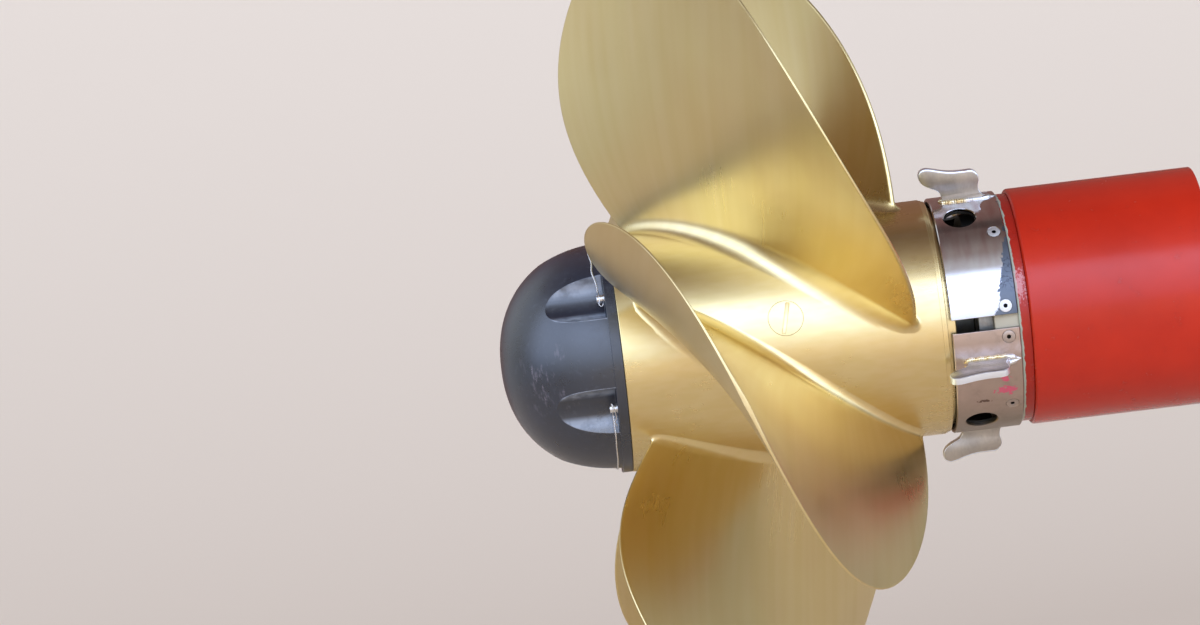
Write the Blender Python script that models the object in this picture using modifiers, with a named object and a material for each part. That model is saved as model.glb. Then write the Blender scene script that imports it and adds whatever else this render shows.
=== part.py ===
"""Ship propeller: a five-bladed, right-handed fixed-pitch propeller with its hub cap, rope guard and shaft,
on a stub of the bracket barrel that carries them. The shaft runs along X, +X is forward, +Z is up, and the
origin is the centre of the barrel's flat forward face. Lengths are in metres and angles in degrees."""

import math

import bmesh
import bpy
from mathutils import Matrix, Vector

# Stations along the shaft, each from the piece aft of it
HUB_LENGTH = 0.485
GUARD_GAP = 0.009
GUARD_LENGTH = 0.102
RING_WIDTH = 0.018
BARREL_LENGTH = 0.286

# Fits
SEAT = 0.0003
BEARING_CLEARANCE = 0.0005

# Hub
HUB_RADIUS = 0.180
HUB_EDGE = 0.004
SPIGOT_SETBACK = 0.014
SPIGOT_LENGTH = 0.018
ROUND_STEPS = 60
HOLE_STEPS = 36

# Blades
BLADE_COUNT = 5
BLADE_ANGLE = 199.8
TIP_RADIUS = 0.681
ROOT_PITCH = 1.460
LOWER_PITCH = 1.913
UPPER_PITCH = 1.904
TIP_PITCH = 1.645
ROOT_RAKE = 0.2165
MIDDLE_RAKE = 0.204
TIP_RAKE = 0.205
ROOT_LEADING_REACH = 0.279
LOWER_LEADING_REACH = 0.372
UPPER_LEADING_REACH = 0.489
TIP_LEADING_REACH = 0.639
ROOT_TRAILING_REACH = 0.230
LOWER_TRAILING_REACH = 0.347
UPPER_TRAILING_REACH = 0.453
TIP_TRAILING_REACH = 0.545
MIDDLE_SKEW = -0.058
TIP_SKEW = -0.161
TIP_FULLNESS = 2.28
ROOT_THICKNESS = 0.044
TIP_THICKNESS = 0.007
EDGE_RADIUS = 0.0022
ROOT_NOSE_RADIUS = 0.0048
SECTION_FULLNESS = 0.85
BACK_SHARE = 0.66
BACK_FILLET = 0.017
FACE_FILLET = 0.030
END_FILLET = 0.011
FILLET_FULLNESS = 0.35
ROOT_SINK = 0.012
FILLET_SHARES = (0.036, 0.17, 0.42, 1.0)
BLADE_STATIONS = 11
TIP_END = 0.9985
CHORD_POINTS = 10

# Plugs in the hub
PLUG_ANGLE = -28.0
PLUG_STATION = 0.249
PLUG_RADIUS = 0.0265
PLUG_DEPTH = 0.014
SLOT_WIDTH = 0.006
SLOT_DEPTH = 0.005

# Hub cap
CAP_LENGTH = 0.181
CAP_SETBACK = 0.0035
CAP_RIM_SETBACK = 0.0005
CAP_RIM_WIDTH = 0.016
CAP_FULLNESS = 2.2
CAP_STEPS = 14
POCKET_COUNT = 6
POCKET_ANGLE = 148.3
POCKET_TOOL_RADIUS = 0.0436
POCKET_DEPTH = 0.0275
POCKET_STEPS = 48

# Cap bolts and their lockwires
BOLT_SETBACK = 0.0144
BOLT_HEAD_RADIUS = 0.0065
BOLT_HEAD_LENGTH = 0.012
WIRE_RADIUS = 0.0015
WIRE_POINTS = 15

# Rope guard and its knives
GUARD_PROUD = 0.0005
GUARD_WALL = 0.009
GUARD_SPLIT = 6.0
GUARD_SLOT = 0.021
HOLE_RADIUS = 0.024
HOLE_STATION = 0.0385
HOLE_ANGLE = 30.5
KNIFE_THICKNESS = 0.012
KNIFE_ANGLES = (12.0, -71.0)
KNIFE_BASE_START = 0.019
KNIFE_BASE_END = 0.084
KNIFE_HOOK_REACH = 0.014
KNIFE_HOOK_DEPTH = 0.020
KNIFE_HOOK_LEAN = 0.002
KNIFE_HEIGHT_AFT = 0.057
KNIFE_HEIGHT_FORWARD = 0.047
KNIFE_THROAT_HEIGHT = 0.013
KNIFE_THROAT_LEAN = 0.002
KNIFE_THROAT_ROUND = 0.012
KNIFE_CORNER_ROUND = 0.009
KNIFE_TOP_SETBACK = 0.008
KNIFE_FOOT_SETBACK = 0.011
KNIFE_FOOT_HEIGHT = 0.010
KNIFE_FOOT_ROUND = 0.008
KNIFE_ARC_STEP = 25.0

# End ring, bearing, shaft and barrel
LAND_LENGTH = 0.036
FLANGE_LENGTH = 0.022
FLANGE_STEP = 0.0212
RING_RECESS = 0.006
BARREL_RADIUS = 0.181
BARREL_CHAMFER = 0.003
BORE_RADIUS = 0.097
BORE_DEPTH = 0.186
SLEEVE_END_GAP = 0.010
SHAFT_RADIUS = 0.075

# Laws from the blade's root to its tip, each at even steps of the blade's height
PITCH = (ROOT_PITCH, LOWER_PITCH, UPPER_PITCH, TIP_PITCH)
RAKE_LINE = (ROOT_RAKE, MIDDLE_RAKE, TIP_RAKE)
LEADING_REACH = (ROOT_LEADING_REACH, LOWER_LEADING_REACH, UPPER_LEADING_REACH, TIP_LEADING_REACH)
TRAILING_REACH = (ROOT_TRAILING_REACH, LOWER_TRAILING_REACH, UPPER_TRAILING_REACH, TIP_TRAILING_REACH)
SKEW = (0.0, MIDDLE_SKEW, TIP_SKEW)

# Radii that follow from the hub's
SPIGOT_RADIUS = HUB_RADIUS - SPIGOT_SETBACK
CAP_RADIUS = HUB_RADIUS - CAP_SETBACK
CAP_RIM_RADIUS = HUB_RADIUS - CAP_RIM_SETBACK
POCKET_FLOOR_RADIUS = CAP_RADIUS - POCKET_DEPTH
BOLT_CIRCLE = HUB_RADIUS - BOLT_SETBACK
GUARD_RADIUS = HUB_RADIUS + GUARD_PROUD
LAND_RADIUS = GUARD_RADIUS - GUARD_WALL - SEAT
FLANGE_RADIUS = LAND_RADIUS - FLANGE_STEP
RING_RADIUS = GUARD_RADIUS - RING_RECESS

# Stations that follow from the sizes above
FRONT = 0.0
BARREL_AFT = FRONT - BARREL_LENGTH
GUARD_FRONT = BARREL_AFT - RING_WIDTH
GUARD_AFT = GUARD_FRONT - GUARD_LENGTH
HUB_FRONT = GUARD_AFT - GUARD_GAP
JOINT = HUB_FRONT - HUB_LENGTH
BORE_END = BARREL_AFT + BORE_DEPTH
HOUSING_AFT = GUARD_FRONT - LAND_LENGTH - FLANGE_LENGTH

for old in list(bpy.data.objects):
    bpy.data.objects.remove(old)


def new_collection(name):
    group = bpy.data.collections.new(name)
    bpy.context.scene.collection.children.link(group)
    return group


PARTS = new_collection("ship_propeller")
CUTTERS = new_collection("cutters")
CUTTERS.hide_render = True


def new_material(name, colour, roughness, metallic):
    made = bpy.data.materials.new(name)
    made.use_nodes = True
    shader = made.node_tree.nodes["Principled BSDF"]
    shader.inputs["Base Color"].default_value = (*colour, 1.0)
    shader.inputs["Roughness"].default_value = roughness
    shader.inputs["Metallic"].default_value = metallic
    return made


BRONZE = new_material("polished_bronze", (0.62, 0.50, 0.30), 0.28, 1.0)
PLASTIC = new_material("cap_plastic", (0.035, 0.045, 0.065), 0.38, 0.0)
STAINLESS = new_material("stainless_plate", (0.58, 0.55, 0.53), 0.3, 1.0)
STEEL = new_material("bare_steel", (0.42, 0.41, 0.36), 0.5, 1.0)
WIRE = new_material("lockwire", (0.70, 0.70, 0.70), 0.35, 1.0)
RED_PAINT = new_material("bracket_paint", (0.60, 0.045, 0.018), 0.25, 0.0)
DARK_RED = new_material("ring_paint", (0.22, 0.015, 0.012), 0.4, 0.0)
RUBBER = new_material("bearing_rubber", (0.02, 0.02, 0.02), 0.7, 0.0)


def place(obj, group, material, parent=None):
    """Links the object in one group only, and gives it its material and parent."""
    for other in list(obj.users_collection):
        other.objects.unlink(obj)
    group.objects.link(obj)
    obj.data.materials.clear()
    if material:
        obj.data.materials.append(material)
    if parent:
        obj.parent = parent
    if group is CUTTERS:
        obj.hide_render = True
        obj.display_type = "WIRE"
    return obj


def mesh_object(name, made, group, material, parent=None):
    """An object from a bmesh, which is used up."""
    data = bpy.data.meshes.new(name)
    made.to_mesh(data)
    made.free()
    return place(bpy.data.objects.new(name, data), group, material, parent)


def turned(name, profile, closed, group, material, parent=None):
    """A solid turned about X from (station, radius) points, which run down the outer side from forward."""
    made = bmesh.new()
    points = [made.verts.new((radius, 0.0, station)) for station, radius in profile]
    for first, second in zip(points, points[1:] + points[:1] if closed else points[1:]):
        made.edges.new((first, second))
    obj = mesh_object(name, made, group, material, parent)
    obj.rotation_euler = (0.0, math.pi / 2, 0.0)
    screw = obj.modifiers.new("turn", "SCREW")
    screw.axis = "Z"
    screw.steps = screw.render_steps = ROUND_STEPS
    screw.use_merge_vertices = True
    screw.merge_threshold = 0.00005
    return obj


def cut(obj, cutter, operation="DIFFERENCE"):
    boolean = obj.modifiers.new(f"{operation.lower()}_{cutter.name}", "BOOLEAN")
    boolean.operation = operation
    boolean.object = cutter
    boolean.solver = "EXACT"


def about_shaft(angle):
    """Turns +Z about the shaft to the given angle, which runs from +Y towards +Z."""
    return Matrix.Rotation(math.radians(angle - 90.0), 4, "X")


def radial_cylinder(name, radius, inner, outer, station, angle, group, material=None, parent=None):
    """A cylinder that points away from the shaft, between two distances from it."""
    made = bmesh.new()
    bmesh.ops.create_cone(
        made, cap_ends=True, segments=HOLE_STEPS, radius1=radius, radius2=radius, depth=outer - inner
    )
    middle = Matrix.Translation((station, 0.0, (inner + outer) / 2))
    bmesh.ops.transform(made, matrix=about_shaft(angle) @ middle, verts=made.verts)
    return mesh_object(name, made, group, material, parent)


def between(values, share):
    """The smooth law through values given at even steps, read at a share from 0 to 1."""
    last = len(values) - 1
    total = 0.0
    for i, value in enumerate(values):
        weight = 1.0
        for j in range(len(values)):
            if j != i:
                weight *= (share * last - j) / (i - j)
        total += weight * value
    return total


def flare_at(height, fillet):
    """How far a root fillet of that radius stands out at a height over the hub."""
    return fillet - math.sqrt(fillet**2 - (fillet - height) ** 2) if height < fillet else 0.0


def section_loop(radius, height):
    """Points of one blade section on its cylinder: round the trailing edge, along the forward side to the
    leading edge, round it, and back along the aft side. Low down the fillet widens it, least at its ends."""
    share = (radius - HUB_RADIUS) / (TIP_RADIUS - HUB_RADIUS)
    law = max(share, 0.0)
    closing = math.sqrt(1.0 - law**TIP_FULLNESS)
    leading = between(LEADING_REACH, law) * closing
    trailing = between(TRAILING_REACH, law) * closing
    skew = between(SKEW, law)
    pitch_angle = math.atan2(between(PITCH, law), math.tau * radius)
    thickness = ROOT_THICKNESS + (TIP_THICKNESS - ROOT_THICKNESS) * law
    nose_radius = EDGE_RADIUS + (ROOT_NOSE_RADIUS - EDGE_RADIUS) * (1.0 - law) ** 1.5
    end_flare = flare_at(height, END_FILLET)

    def at(along, across):
        station = JOINT + between(RAKE_LINE, law)
        station += along * math.sin(pitch_angle) + across * math.cos(pitch_angle)
        turn = (along * math.cos(pitch_angle) - across * math.sin(pitch_angle)) / radius
        return Vector((station, radius * math.cos(turn), radius * math.sin(turn)))

    def side(sign, thickness_share, middle_fillet):
        points = []
        for i in range(1, CHORD_POINTS + 1):
            run = -math.cos(math.pi * i / (CHORD_POINTS + 1))
            full = (1.0 - run * run) ** SECTION_FULLNESS
            along = (leading - trailing + run * (leading + trailing)) / 2 + skew
            fillet = END_FILLET + (middle_fillet - END_FILLET) * (1.0 - run * run) ** FILLET_FULLNESS
            edge = EDGE_RADIUS + (nose_radius - EDGE_RADIUS) * (1.0 + run) / 2
            reach = thickness_share * thickness * full + edge * (1.0 - full)
            points.append(at(along, sign * (reach + flare_at(height, fillet))))
        return points

    def end(along, edge, start_angle):
        angles = (start_angle, start_angle + 45.0, start_angle + 90.0)
        turns = [math.radians(angle) for angle in angles]
        return [at(along + edge * math.cos(turn), edge * math.sin(turn)) for turn in turns]

    nose = end(leading + skew, nose_radius + end_flare, -45.0)
    tail = end(-trailing + skew, EDGE_RADIUS + end_flare, 135.0)
    back = side(1.0, BACK_SHARE, BACK_FILLET)
    face = side(-1.0, 1.0 - BACK_SHARE, FACE_FILLET)
    return tail[::-1] + back + nose[::-1] + face[::-1]


def blade_mesh():
    """One blade lofted through its sections, from inside the hub to the tip."""
    heights = [FACE_FILLET * share for share in FILLET_SHARES]
    rings = [(HUB_RADIUS - ROOT_SINK, heights[0])]
    rings += [(HUB_RADIUS + height, height) for height in heights]
    span = TIP_RADIUS - HUB_RADIUS
    for i in range(1, BLADE_STATIONS + 1):
        left = (span - FACE_FILLET) * (1.0 - i / BLADE_STATIONS) ** 2
        height = min(span - left, span * TIP_END)
        rings.append((HUB_RADIUS + height, height))
    made = bmesh.new()
    loops = [[made.verts.new(point) for point in section_loop(*ring)] for ring in rings]
    for lower, upper in zip(loops, loops[1:]):
        for i in range(len(lower)):
            j = (i + 1) % len(lower)
            made.faces.new((lower[i], lower[j], upper[j], upper[i]))
    made.faces.new(loops[0])
    made.faces.new(loops[-1][::-1])
    bmesh.ops.recalc_face_normals(made, faces=made.faces)
    return made


def make_hub(shaft_line):
    profile = [
        (HUB_FRONT + SPIGOT_LENGTH, 0.0),
        (HUB_FRONT + SPIGOT_LENGTH, SPIGOT_RADIUS),
        (HUB_FRONT, SPIGOT_RADIUS),
        (HUB_FRONT, HUB_RADIUS - HUB_EDGE),
        (HUB_FRONT - HUB_EDGE, HUB_RADIUS),
        (JOINT, HUB_RADIUS),
        (JOINT, 0.0),
    ]
    hub = turned("propeller_hub", profile, False, PARTS, BRONZE, shaft_line)
    skin = [(FRONT, 0.0), (FRONT, HUB_RADIUS), (JOINT - CAP_LENGTH, HUB_RADIUS), (JOINT - CAP_LENGTH, 0.0)]
    skin_tool = turned("hub_skin", skin, False, CUTTERS, None)
    for i in range(BLADE_COUNT):
        angle = BLADE_ANGLE + PLUG_ANGLE + i * 360.0 / BLADE_COUNT
        place_on_hub = (JOINT + PLUG_STATION, angle)
        outer = HUB_RADIUS + PLUG_DEPTH
        socket = radial_cylinder(
            f"plug_socket_{i + 1}",
            PLUG_RADIUS + SEAT,
            HUB_RADIUS - PLUG_DEPTH - SEAT,
            outer,
            *place_on_hub,
            CUTTERS,
        )
        cut(hub, socket)
        plug = radial_cylinder(
            f"hub_plug_{i + 1}",
            PLUG_RADIUS,
            HUB_RADIUS - PLUG_DEPTH,
            outer,
            *place_on_hub,
            PARTS,
            BRONZE,
            shaft_line,
        )
        cut(plug, skin_tool, "INTERSECT")
        made = bmesh.new()
        bmesh.ops.create_cube(made, size=1.0)
        size = Matrix.Diagonal((SLOT_WIDTH, 2 * PLUG_RADIUS + PLUG_DEPTH, 2 * SLOT_DEPTH, 1.0))
        middle = Matrix.Translation((JOINT + PLUG_STATION, 0.0, HUB_RADIUS))
        bmesh.ops.transform(made, matrix=about_shaft(angle) @ middle @ size, verts=made.verts)
        cut(plug, mesh_object(f"plug_slot_{i + 1}", made, CUTTERS, None))


def make_blades(shaft_line):
    radius = HUB_RADIUS + SEAT
    aft = JOINT - CAP_LENGTH
    profile = [(FRONT, 0.0), (FRONT, radius), (aft, radius), (aft, 0.0)]
    hub_room = turned("hub_room", profile, False, CUTTERS, None)
    made = blade_mesh()
    for i in range(BLADE_COUNT):
        angle = BLADE_ANGLE + i * 360.0 / BLADE_COUNT
        copy = made.copy()
        bmesh.ops.transform(copy, matrix=Matrix.Rotation(math.radians(angle), 4, "X"), verts=copy.verts)
        blade = mesh_object(f"blade_{i + 1}", copy, PARTS, BRONZE, shaft_line)
        cut(blade, hub_room)
    made.free()


def cap_radius_at(station):
    """The dome's radius at a distance aft of the joint."""
    return CAP_RADIUS * (1.0 - (station / CAP_LENGTH) ** CAP_FULLNESS) ** (1.0 / CAP_FULLNESS)


def make_cap(shaft_line):
    front = JOINT - SEAT
    profile = [
        (front, 0.0),
        (front, CAP_RIM_RADIUS),
        (JOINT - CAP_RIM_WIDTH, CAP_RIM_RADIUS),
    ]
    first = math.asin(CAP_RIM_WIDTH / CAP_LENGTH)
    for i in range(CAP_STEPS):
        reach = first + (math.pi / 2 - first) * i / CAP_STEPS
        profile.append((JOINT - CAP_LENGTH * math.sin(reach), cap_radius_at(CAP_LENGTH * math.sin(reach))))
    profile.append((JOINT - CAP_LENGTH, 0.0))
    cap = turned("hub_cap", profile, False, PARTS, PLASTIC, shaft_line)
    for i in range(POCKET_COUNT):
        made = bmesh.new()
        bmesh.ops.create_cone(
            made,
            cap_ends=True,
            segments=POCKET_STEPS,
            radius1=POCKET_TOOL_RADIUS,
            radius2=POCKET_TOOL_RADIUS,
            depth=CAP_LENGTH,
        )
        reach = POCKET_FLOOR_RADIUS + POCKET_TOOL_RADIUS
        middle = Matrix.Translation((JOINT - CAP_RIM_WIDTH - CAP_LENGTH / 2, 0.0, reach))
        along = middle @ Matrix.Rotation(math.pi / 2, 4, "Y")
        angle = POCKET_ANGLE + i * 360.0 / POCKET_COUNT
        bmesh.ops.transform(made, matrix=about_shaft(angle) @ along, verts=made.verts)
        cut(cap, mesh_object(f"cap_pocket_{i + 1}", made, CUTTERS, None))


def make_lockwires(shaft_line):
    """Each wire runs from one bolt head over the land between two pockets to the next head."""
    step = 360.0 / POCKET_COUNT
    tool_reach = POCKET_FLOOR_RADIUS + POCKET_TOOL_RADIUS
    edge_reach = (tool_reach**2 + CAP_RADIUS**2 - POCKET_TOOL_RADIUS**2) / (2 * tool_reach)
    pocket_edge = math.degrees(math.acos(edge_reach / CAP_RADIUS))
    behind_joint = CAP_RIM_WIDTH + BOLT_HEAD_LENGTH - 2 * WIRE_RADIUS
    station = JOINT - behind_joint
    over = cap_radius_at(behind_joint) + WIRE_RADIUS + SEAT
    low = BOLT_CIRCLE + BOLT_HEAD_RADIUS + WIRE_RADIUS
    for i in range(POCKET_COUNT // 2):
        start = POCKET_ANGLE - step + 2 * i * step
        curve = bpy.data.curves.new(f"lockwire_{i + 1}", "CURVE")
        curve.dimensions = "3D"
        curve.bevel_depth = WIRE_RADIUS
        curve.bevel_resolution = 2
        curve.use_fill_caps = True
        spline = curve.splines.new("POLY")
        spline.points.add(WIRE_POINTS - 1)
        for k, point in enumerate(spline.points):
            share = k / (WIRE_POINTS - 1)
            turn = share * step
            rise = min(turn, step - turn) / pocket_edge
            radius = low + (over - low) * (1.0 if rise >= 1.0 else rise * rise * (3.0 - 2.0 * rise))
            angle = math.radians(start + turn)
            point.co = (station, radius * math.cos(angle), radius * math.sin(angle), 1.0)
        wire = bpy.data.objects.new(f"lockwire_{i + 1}", curve)
        place(wire, PARTS, WIRE, shaft_line)


def make_shaft(shaft_line):
    aft = HUB_FRONT + SPIGOT_LENGTH + SEAT
    forward = BORE_END - SLEEVE_END_GAP / 2
    profile = [(forward, 0.0), (forward, SHAFT_RADIUS), (aft, SHAFT_RADIUS), (aft, 0.0)]
    turned("propeller_shaft", profile, False, PARTS, STEEL, shaft_line)


def make_bearing():
    inner = SHAFT_RADIUS + BEARING_CLEARANCE
    outer = BORE_RADIUS
    forward = BORE_END - SLEEVE_END_GAP
    profile = [(forward, inner), (forward, outer), (HOUSING_AFT, outer), (HOUSING_AFT, inner)]
    turned("bearing_sleeve", profile, True, PARTS, RUBBER)
    inner = BORE_RADIUS + SEAT
    profile = [
        (BARREL_AFT - SEAT, inner),
        (BARREL_AFT - SEAT, RING_RADIUS),
        (GUARD_FRONT + SEAT, RING_RADIUS),
        (GUARD_FRONT + SEAT, LAND_RADIUS),
        (GUARD_FRONT - LAND_LENGTH, LAND_RADIUS),
        (GUARD_FRONT - LAND_LENGTH, FLANGE_RADIUS),
        (HOUSING_AFT, FLANGE_RADIUS),
        (HOUSING_AFT, inner),
    ]
    turned("barrel_end_ring", profile, True, PARTS, DARK_RED)


def make_barrel():
    profile = [
        (FRONT, 0.0),
        (FRONT, BARREL_RADIUS),
        (BARREL_AFT + BARREL_CHAMFER, BARREL_RADIUS),
        (BARREL_AFT, BARREL_RADIUS - BARREL_CHAMFER),
        (BARREL_AFT, BORE_RADIUS + SEAT),
        (BORE_END, BORE_RADIUS + SEAT),
        (BORE_END, 0.0),
    ]
    turned("bracket_barrel", profile, False, PARTS, RED_PAINT)


def make_guard_half(name, middle_angle):
    """One half ring, centred on the given angle, with its two holes and two knives."""
    outer = GUARD_RADIUS
    inner = GUARD_RADIUS - GUARD_WALL
    profile = [(GUARD_FRONT, inner), (GUARD_FRONT, outer), (GUARD_AFT, outer), (GUARD_AFT, inner)]
    half = turned(f"rope_guard_{name}", profile, True, PARTS, STAINLESS)
    made = bmesh.new()
    bmesh.ops.create_cube(made, size=1.0)
    size = Matrix.Diagonal((3 * GUARD_LENGTH, 4 * GUARD_RADIUS, 2 * GUARD_RADIUS, 1.0))
    middle = Matrix.Translation(((GUARD_FRONT + GUARD_AFT) / 2, 0.0, GUARD_RADIUS + GUARD_SLOT / 2))
    bmesh.ops.transform(made, matrix=about_shaft(middle_angle) @ middle @ size, verts=made.verts)
    cut(half, mesh_object(f"guard_side_{name}", made, CUTTERS, None), "INTERSECT")
    for i, offset in enumerate((-HOLE_ANGLE, HOLE_ANGLE)):
        hole = radial_cylinder(
            f"guard_hole_{name}_{i + 1}",
            HOLE_RADIUS,
            inner - GUARD_WALL * 2,
            outer + GUARD_WALL,
            GUARD_AFT + HOLE_STATION,
            middle_angle + offset,
            CUTTERS,
        )
        cut(half, hole)
    for i, offset in enumerate(KNIFE_ANGLES):
        make_knife(f"rope_knife_{name}_{i + 1}", middle_angle + offset)


def rounded_outline(corners):
    """The corners of a flat shape, each (x, y, radius), rounded by an arc of that radius."""
    points = []
    for i, (x, y, radius) in enumerate(corners):
        here = Vector((x, y))
        before = (Vector(corners[i - 1][:2]) - here).normalized()
        after = (Vector(corners[(i + 1) % len(corners)][:2]) - here).normalized()
        if not radius:
            points.append(here)
            continue
        half = before.angle(after) / 2
        centre = here + (before + after).normalized() * radius / math.sin(half)
        start = here + before * radius / math.tan(half) - centre
        sweep = start.angle_signed(here + after * radius / math.tan(half) - centre)
        steps = max(2, round(abs(sweep) / math.radians(KNIFE_ARC_STEP)))
        for k in range(steps + 1):
            turn = Matrix.Rotation(-sweep * k / steps, 2)
            points.append(centre + turn @ start)
    return points


def make_knife(name, angle):
    """A hooked plate that stands on the guard in the plane of the shaft."""
    hook = -KNIFE_HOOK_REACH
    corners = [
        (KNIFE_BASE_START, 0.0, 0.0),
        (KNIFE_BASE_START - KNIFE_THROAT_LEAN, KNIFE_THROAT_HEIGHT, KNIFE_THROAT_ROUND),
        (hook, KNIFE_HEIGHT_AFT - KNIFE_HOOK_DEPTH, KNIFE_CORNER_ROUND),
        (hook + KNIFE_HOOK_LEAN, KNIFE_HEIGHT_AFT, KNIFE_CORNER_ROUND),
        (KNIFE_BASE_END - KNIFE_TOP_SETBACK, KNIFE_HEIGHT_FORWARD, KNIFE_CORNER_ROUND),
        (KNIFE_BASE_END - KNIFE_FOOT_SETBACK, KNIFE_FOOT_HEIGHT, KNIFE_FOOT_ROUND),
        (KNIFE_BASE_END, 0.0, 0.0),
    ]
    made = bmesh.new()
    flat = [made.verts.new((x, 0.0, y)) for x, y in rounded_outline(corners)]
    face = made.faces.new(flat)
    grown = bmesh.ops.extrude_face_region(made, geom=[face])
    moved = [item for item in grown["geom"] if isinstance(item, bmesh.types.BMVert)]
    bmesh.ops.translate(made, vec=(0.0, KNIFE_THICKNESS, 0.0), verts=moved)
    bmesh.ops.recalc_face_normals(made, faces=made.faces)
    seat = Matrix.Translation((GUARD_AFT, -KNIFE_THICKNESS / 2, GUARD_RADIUS + SEAT))
    bmesh.ops.transform(made, matrix=about_shaft(angle) @ seat, verts=made.verts)
    mesh_object(name, made, PARTS, STAINLESS)


def make_propeller():
    shaft_line = bpy.data.objects.new("shaft_line", None)
    PARTS.objects.link(shaft_line)
    make_hub(shaft_line)
    make_blades(shaft_line)
    make_cap(shaft_line)
    make_lockwires(shaft_line)
    make_shaft(shaft_line)


make_propeller()
make_bearing()
make_barrel()
make_guard_half("upper", GUARD_SPLIT + 90.0)
make_guard_half("lower", GUARD_SPLIT + 270.0)
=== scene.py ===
import math

import bmesh
import bpy
from mathutils import Matrix, Vector


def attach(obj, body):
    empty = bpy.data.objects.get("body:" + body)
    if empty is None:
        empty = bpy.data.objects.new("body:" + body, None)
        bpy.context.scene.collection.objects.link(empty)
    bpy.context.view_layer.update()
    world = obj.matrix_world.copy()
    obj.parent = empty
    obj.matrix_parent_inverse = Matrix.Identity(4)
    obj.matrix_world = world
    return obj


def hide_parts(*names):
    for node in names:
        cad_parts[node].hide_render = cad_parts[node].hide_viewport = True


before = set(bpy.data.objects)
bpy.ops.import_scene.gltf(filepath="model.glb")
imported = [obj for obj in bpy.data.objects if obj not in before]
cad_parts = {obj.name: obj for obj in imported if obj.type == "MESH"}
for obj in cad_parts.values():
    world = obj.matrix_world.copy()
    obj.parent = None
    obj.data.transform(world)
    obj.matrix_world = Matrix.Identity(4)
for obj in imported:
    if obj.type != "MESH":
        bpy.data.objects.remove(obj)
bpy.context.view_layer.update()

# Ship propeller: a five-bladed bronze casting with its hub cap and lockwires, the rope guard with its knives and
# screws, the shaft, and a stub of the bracket barrel. The shaft runs along X, +X is forward and +Z is up.
# Lengths are in metres and angles in degrees, about the shaft from +Y towards +Z.

# Stations along the shaft
JOINT = -0.900
HUB_FRONT = -0.415
GUARD_AFT = -0.406
GUARD_FRONT = -0.304
BARREL_AFT = -0.286
FRONT = 0.0
SEAT = 0.0003

# Casting
HUB_RADIUS = 0.180
BLADE_COUNT = 5
BLADE_STEP = 360.0 / BLADE_COUNT
BLADE_ANGLE = 199.8
LAW_RADIUS = 0.681
TIP_RADIUS = 0.68025
PITCH = (1.460, 1.913, 1.904, 1.645)
RAKE_LINE = (0.2165, 0.204, 0.205)
LEADING_REACH = (0.279, 0.372, 0.489, 0.639)
TRAILING_REACH = (0.230, 0.347, 0.453, 0.545)
SKEW = (0.0, -0.058, -0.161)
TIP_FULLNESS = 2.28
ROOT_THICKNESS = 0.044
TIP_THICKNESS = 0.007
EDGE_RADIUS = 0.0016
ROOT_NOSE_RADIUS = 0.0048
SECTION_FULLNESS = 0.85
BACK_SHARE = 0.66
BACK_FILLET = 0.017
FACE_FILLET = 0.030
END_FILLET = 0.011
FILLET_FULLNESS = 0.35
CHORD_POINTS = 45
END_POINTS = 7
FILLET_ROWS = 12
BLADE_ROWS = 50
HUB_ROWS = 8
RIM_STEPS = 24
# The share of the blade's height that the last row leaves open
TIP_LEFT = 0.00008
SPIGOT_RADIUS = 0.166
SPIGOT_LENGTH = 0.018
# The hub's forward edge with a scribed line behind it: (forward of the edge, radius)
HUB_FRONT_EDGE = (
    (-0.0042, HUB_RADIUS - 0.0003), (-0.0040, HUB_RADIUS - 0.0010), (-0.0014, HUB_RADIUS - 0.0013),
    (-0.0006, HUB_RADIUS - 0.0016), (-0.0004, HUB_RADIUS - 0.0026), (0.0030, HUB_RADIUS - 0.0029),
    (0.0038, HUB_RADIUS - 0.0036), (0.0042, SPIGOT_RADIUS + 0.0008), (0.0050, SPIGOT_RADIUS),
)

# Plugs, one between each two blades
PLUG_ANGLE = -28.0
PLUG_STATION = 0.249
PLUG_RADIUS = 0.0265
PLUG_DEPTH = 0.014
PLUG_GAP = 0.0003
PLUG_SLOT = (0.0062, 0.048, 0.0056)
PLUG_SLOT_TURN = -14.0
PLUG_ANGLES = [BLADE_ANGLE + PLUG_ANGLE + i * BLADE_STEP for i in range(BLADE_COUNT)]

# Cap, its pockets, bolts and wires
CAP_LENGTH = 0.181
CAP_RADIUS = 0.1765
CAP_RIM_RADIUS = 0.1795
CAP_RIM_WIDTH = 0.016
CAP_FULLNESS = 2.2
CAP_STEPS = 56
CAP_EDGE = 0.0008
POCKET_COUNT = 6
POCKET_STEP = 360.0 / POCKET_COUNT
POCKET_ANGLE = 148.3
POCKET_TOOL_RADIUS = 0.0436
POCKET_FLOOR_RADIUS = 0.149
POCKET_CORNER = 0.0025
BOLT_CIRCLE = 0.1656
BOLT_HEAD_RADIUS = 0.0065
BOLT_HEAD_LENGTH = 0.012
BOLT_SOCKET_RADIUS = 0.0035
BOLT_SOCKET_DEPTH = 0.005
BOLT_HOLE_DEPTH = 0.004
BOLT_HOLE_RADIUS = 0.0011
WASHER_RADIUS = 0.0077
WASHER_THICKNESS = 0.0016
STRAND_RADIUS = 0.00075
TWIST_PITCH = 0.0075
# A wire leaves the bolt circle over these angles from the bolt, and then lies this high over the dome
WIRE_RISE = (2.5, 13.5)
WIRE_HEIGHT = 0.0020
# The ends of a lockwire about a bolt's head: (towards the wire, in reaches of the head, outwards, forward)
WIRE_TAIL = ((-1.45, 0.003, -0.0012), (-1.85, 0.002, 0.0012), (-1.95, 0.0045, 0.0042), (-1.60, 0.0060, 0.0050))
WIRE_BACK = (
    (-1.30, 0.0035, 0.0), (-0.20, 0.0080, 0.0030), (1.60, 0.0080, 0.0045), (2.70, 0.0055, 0.0015),
    (3.60, 0.0060, 0.0050),
)
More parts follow.
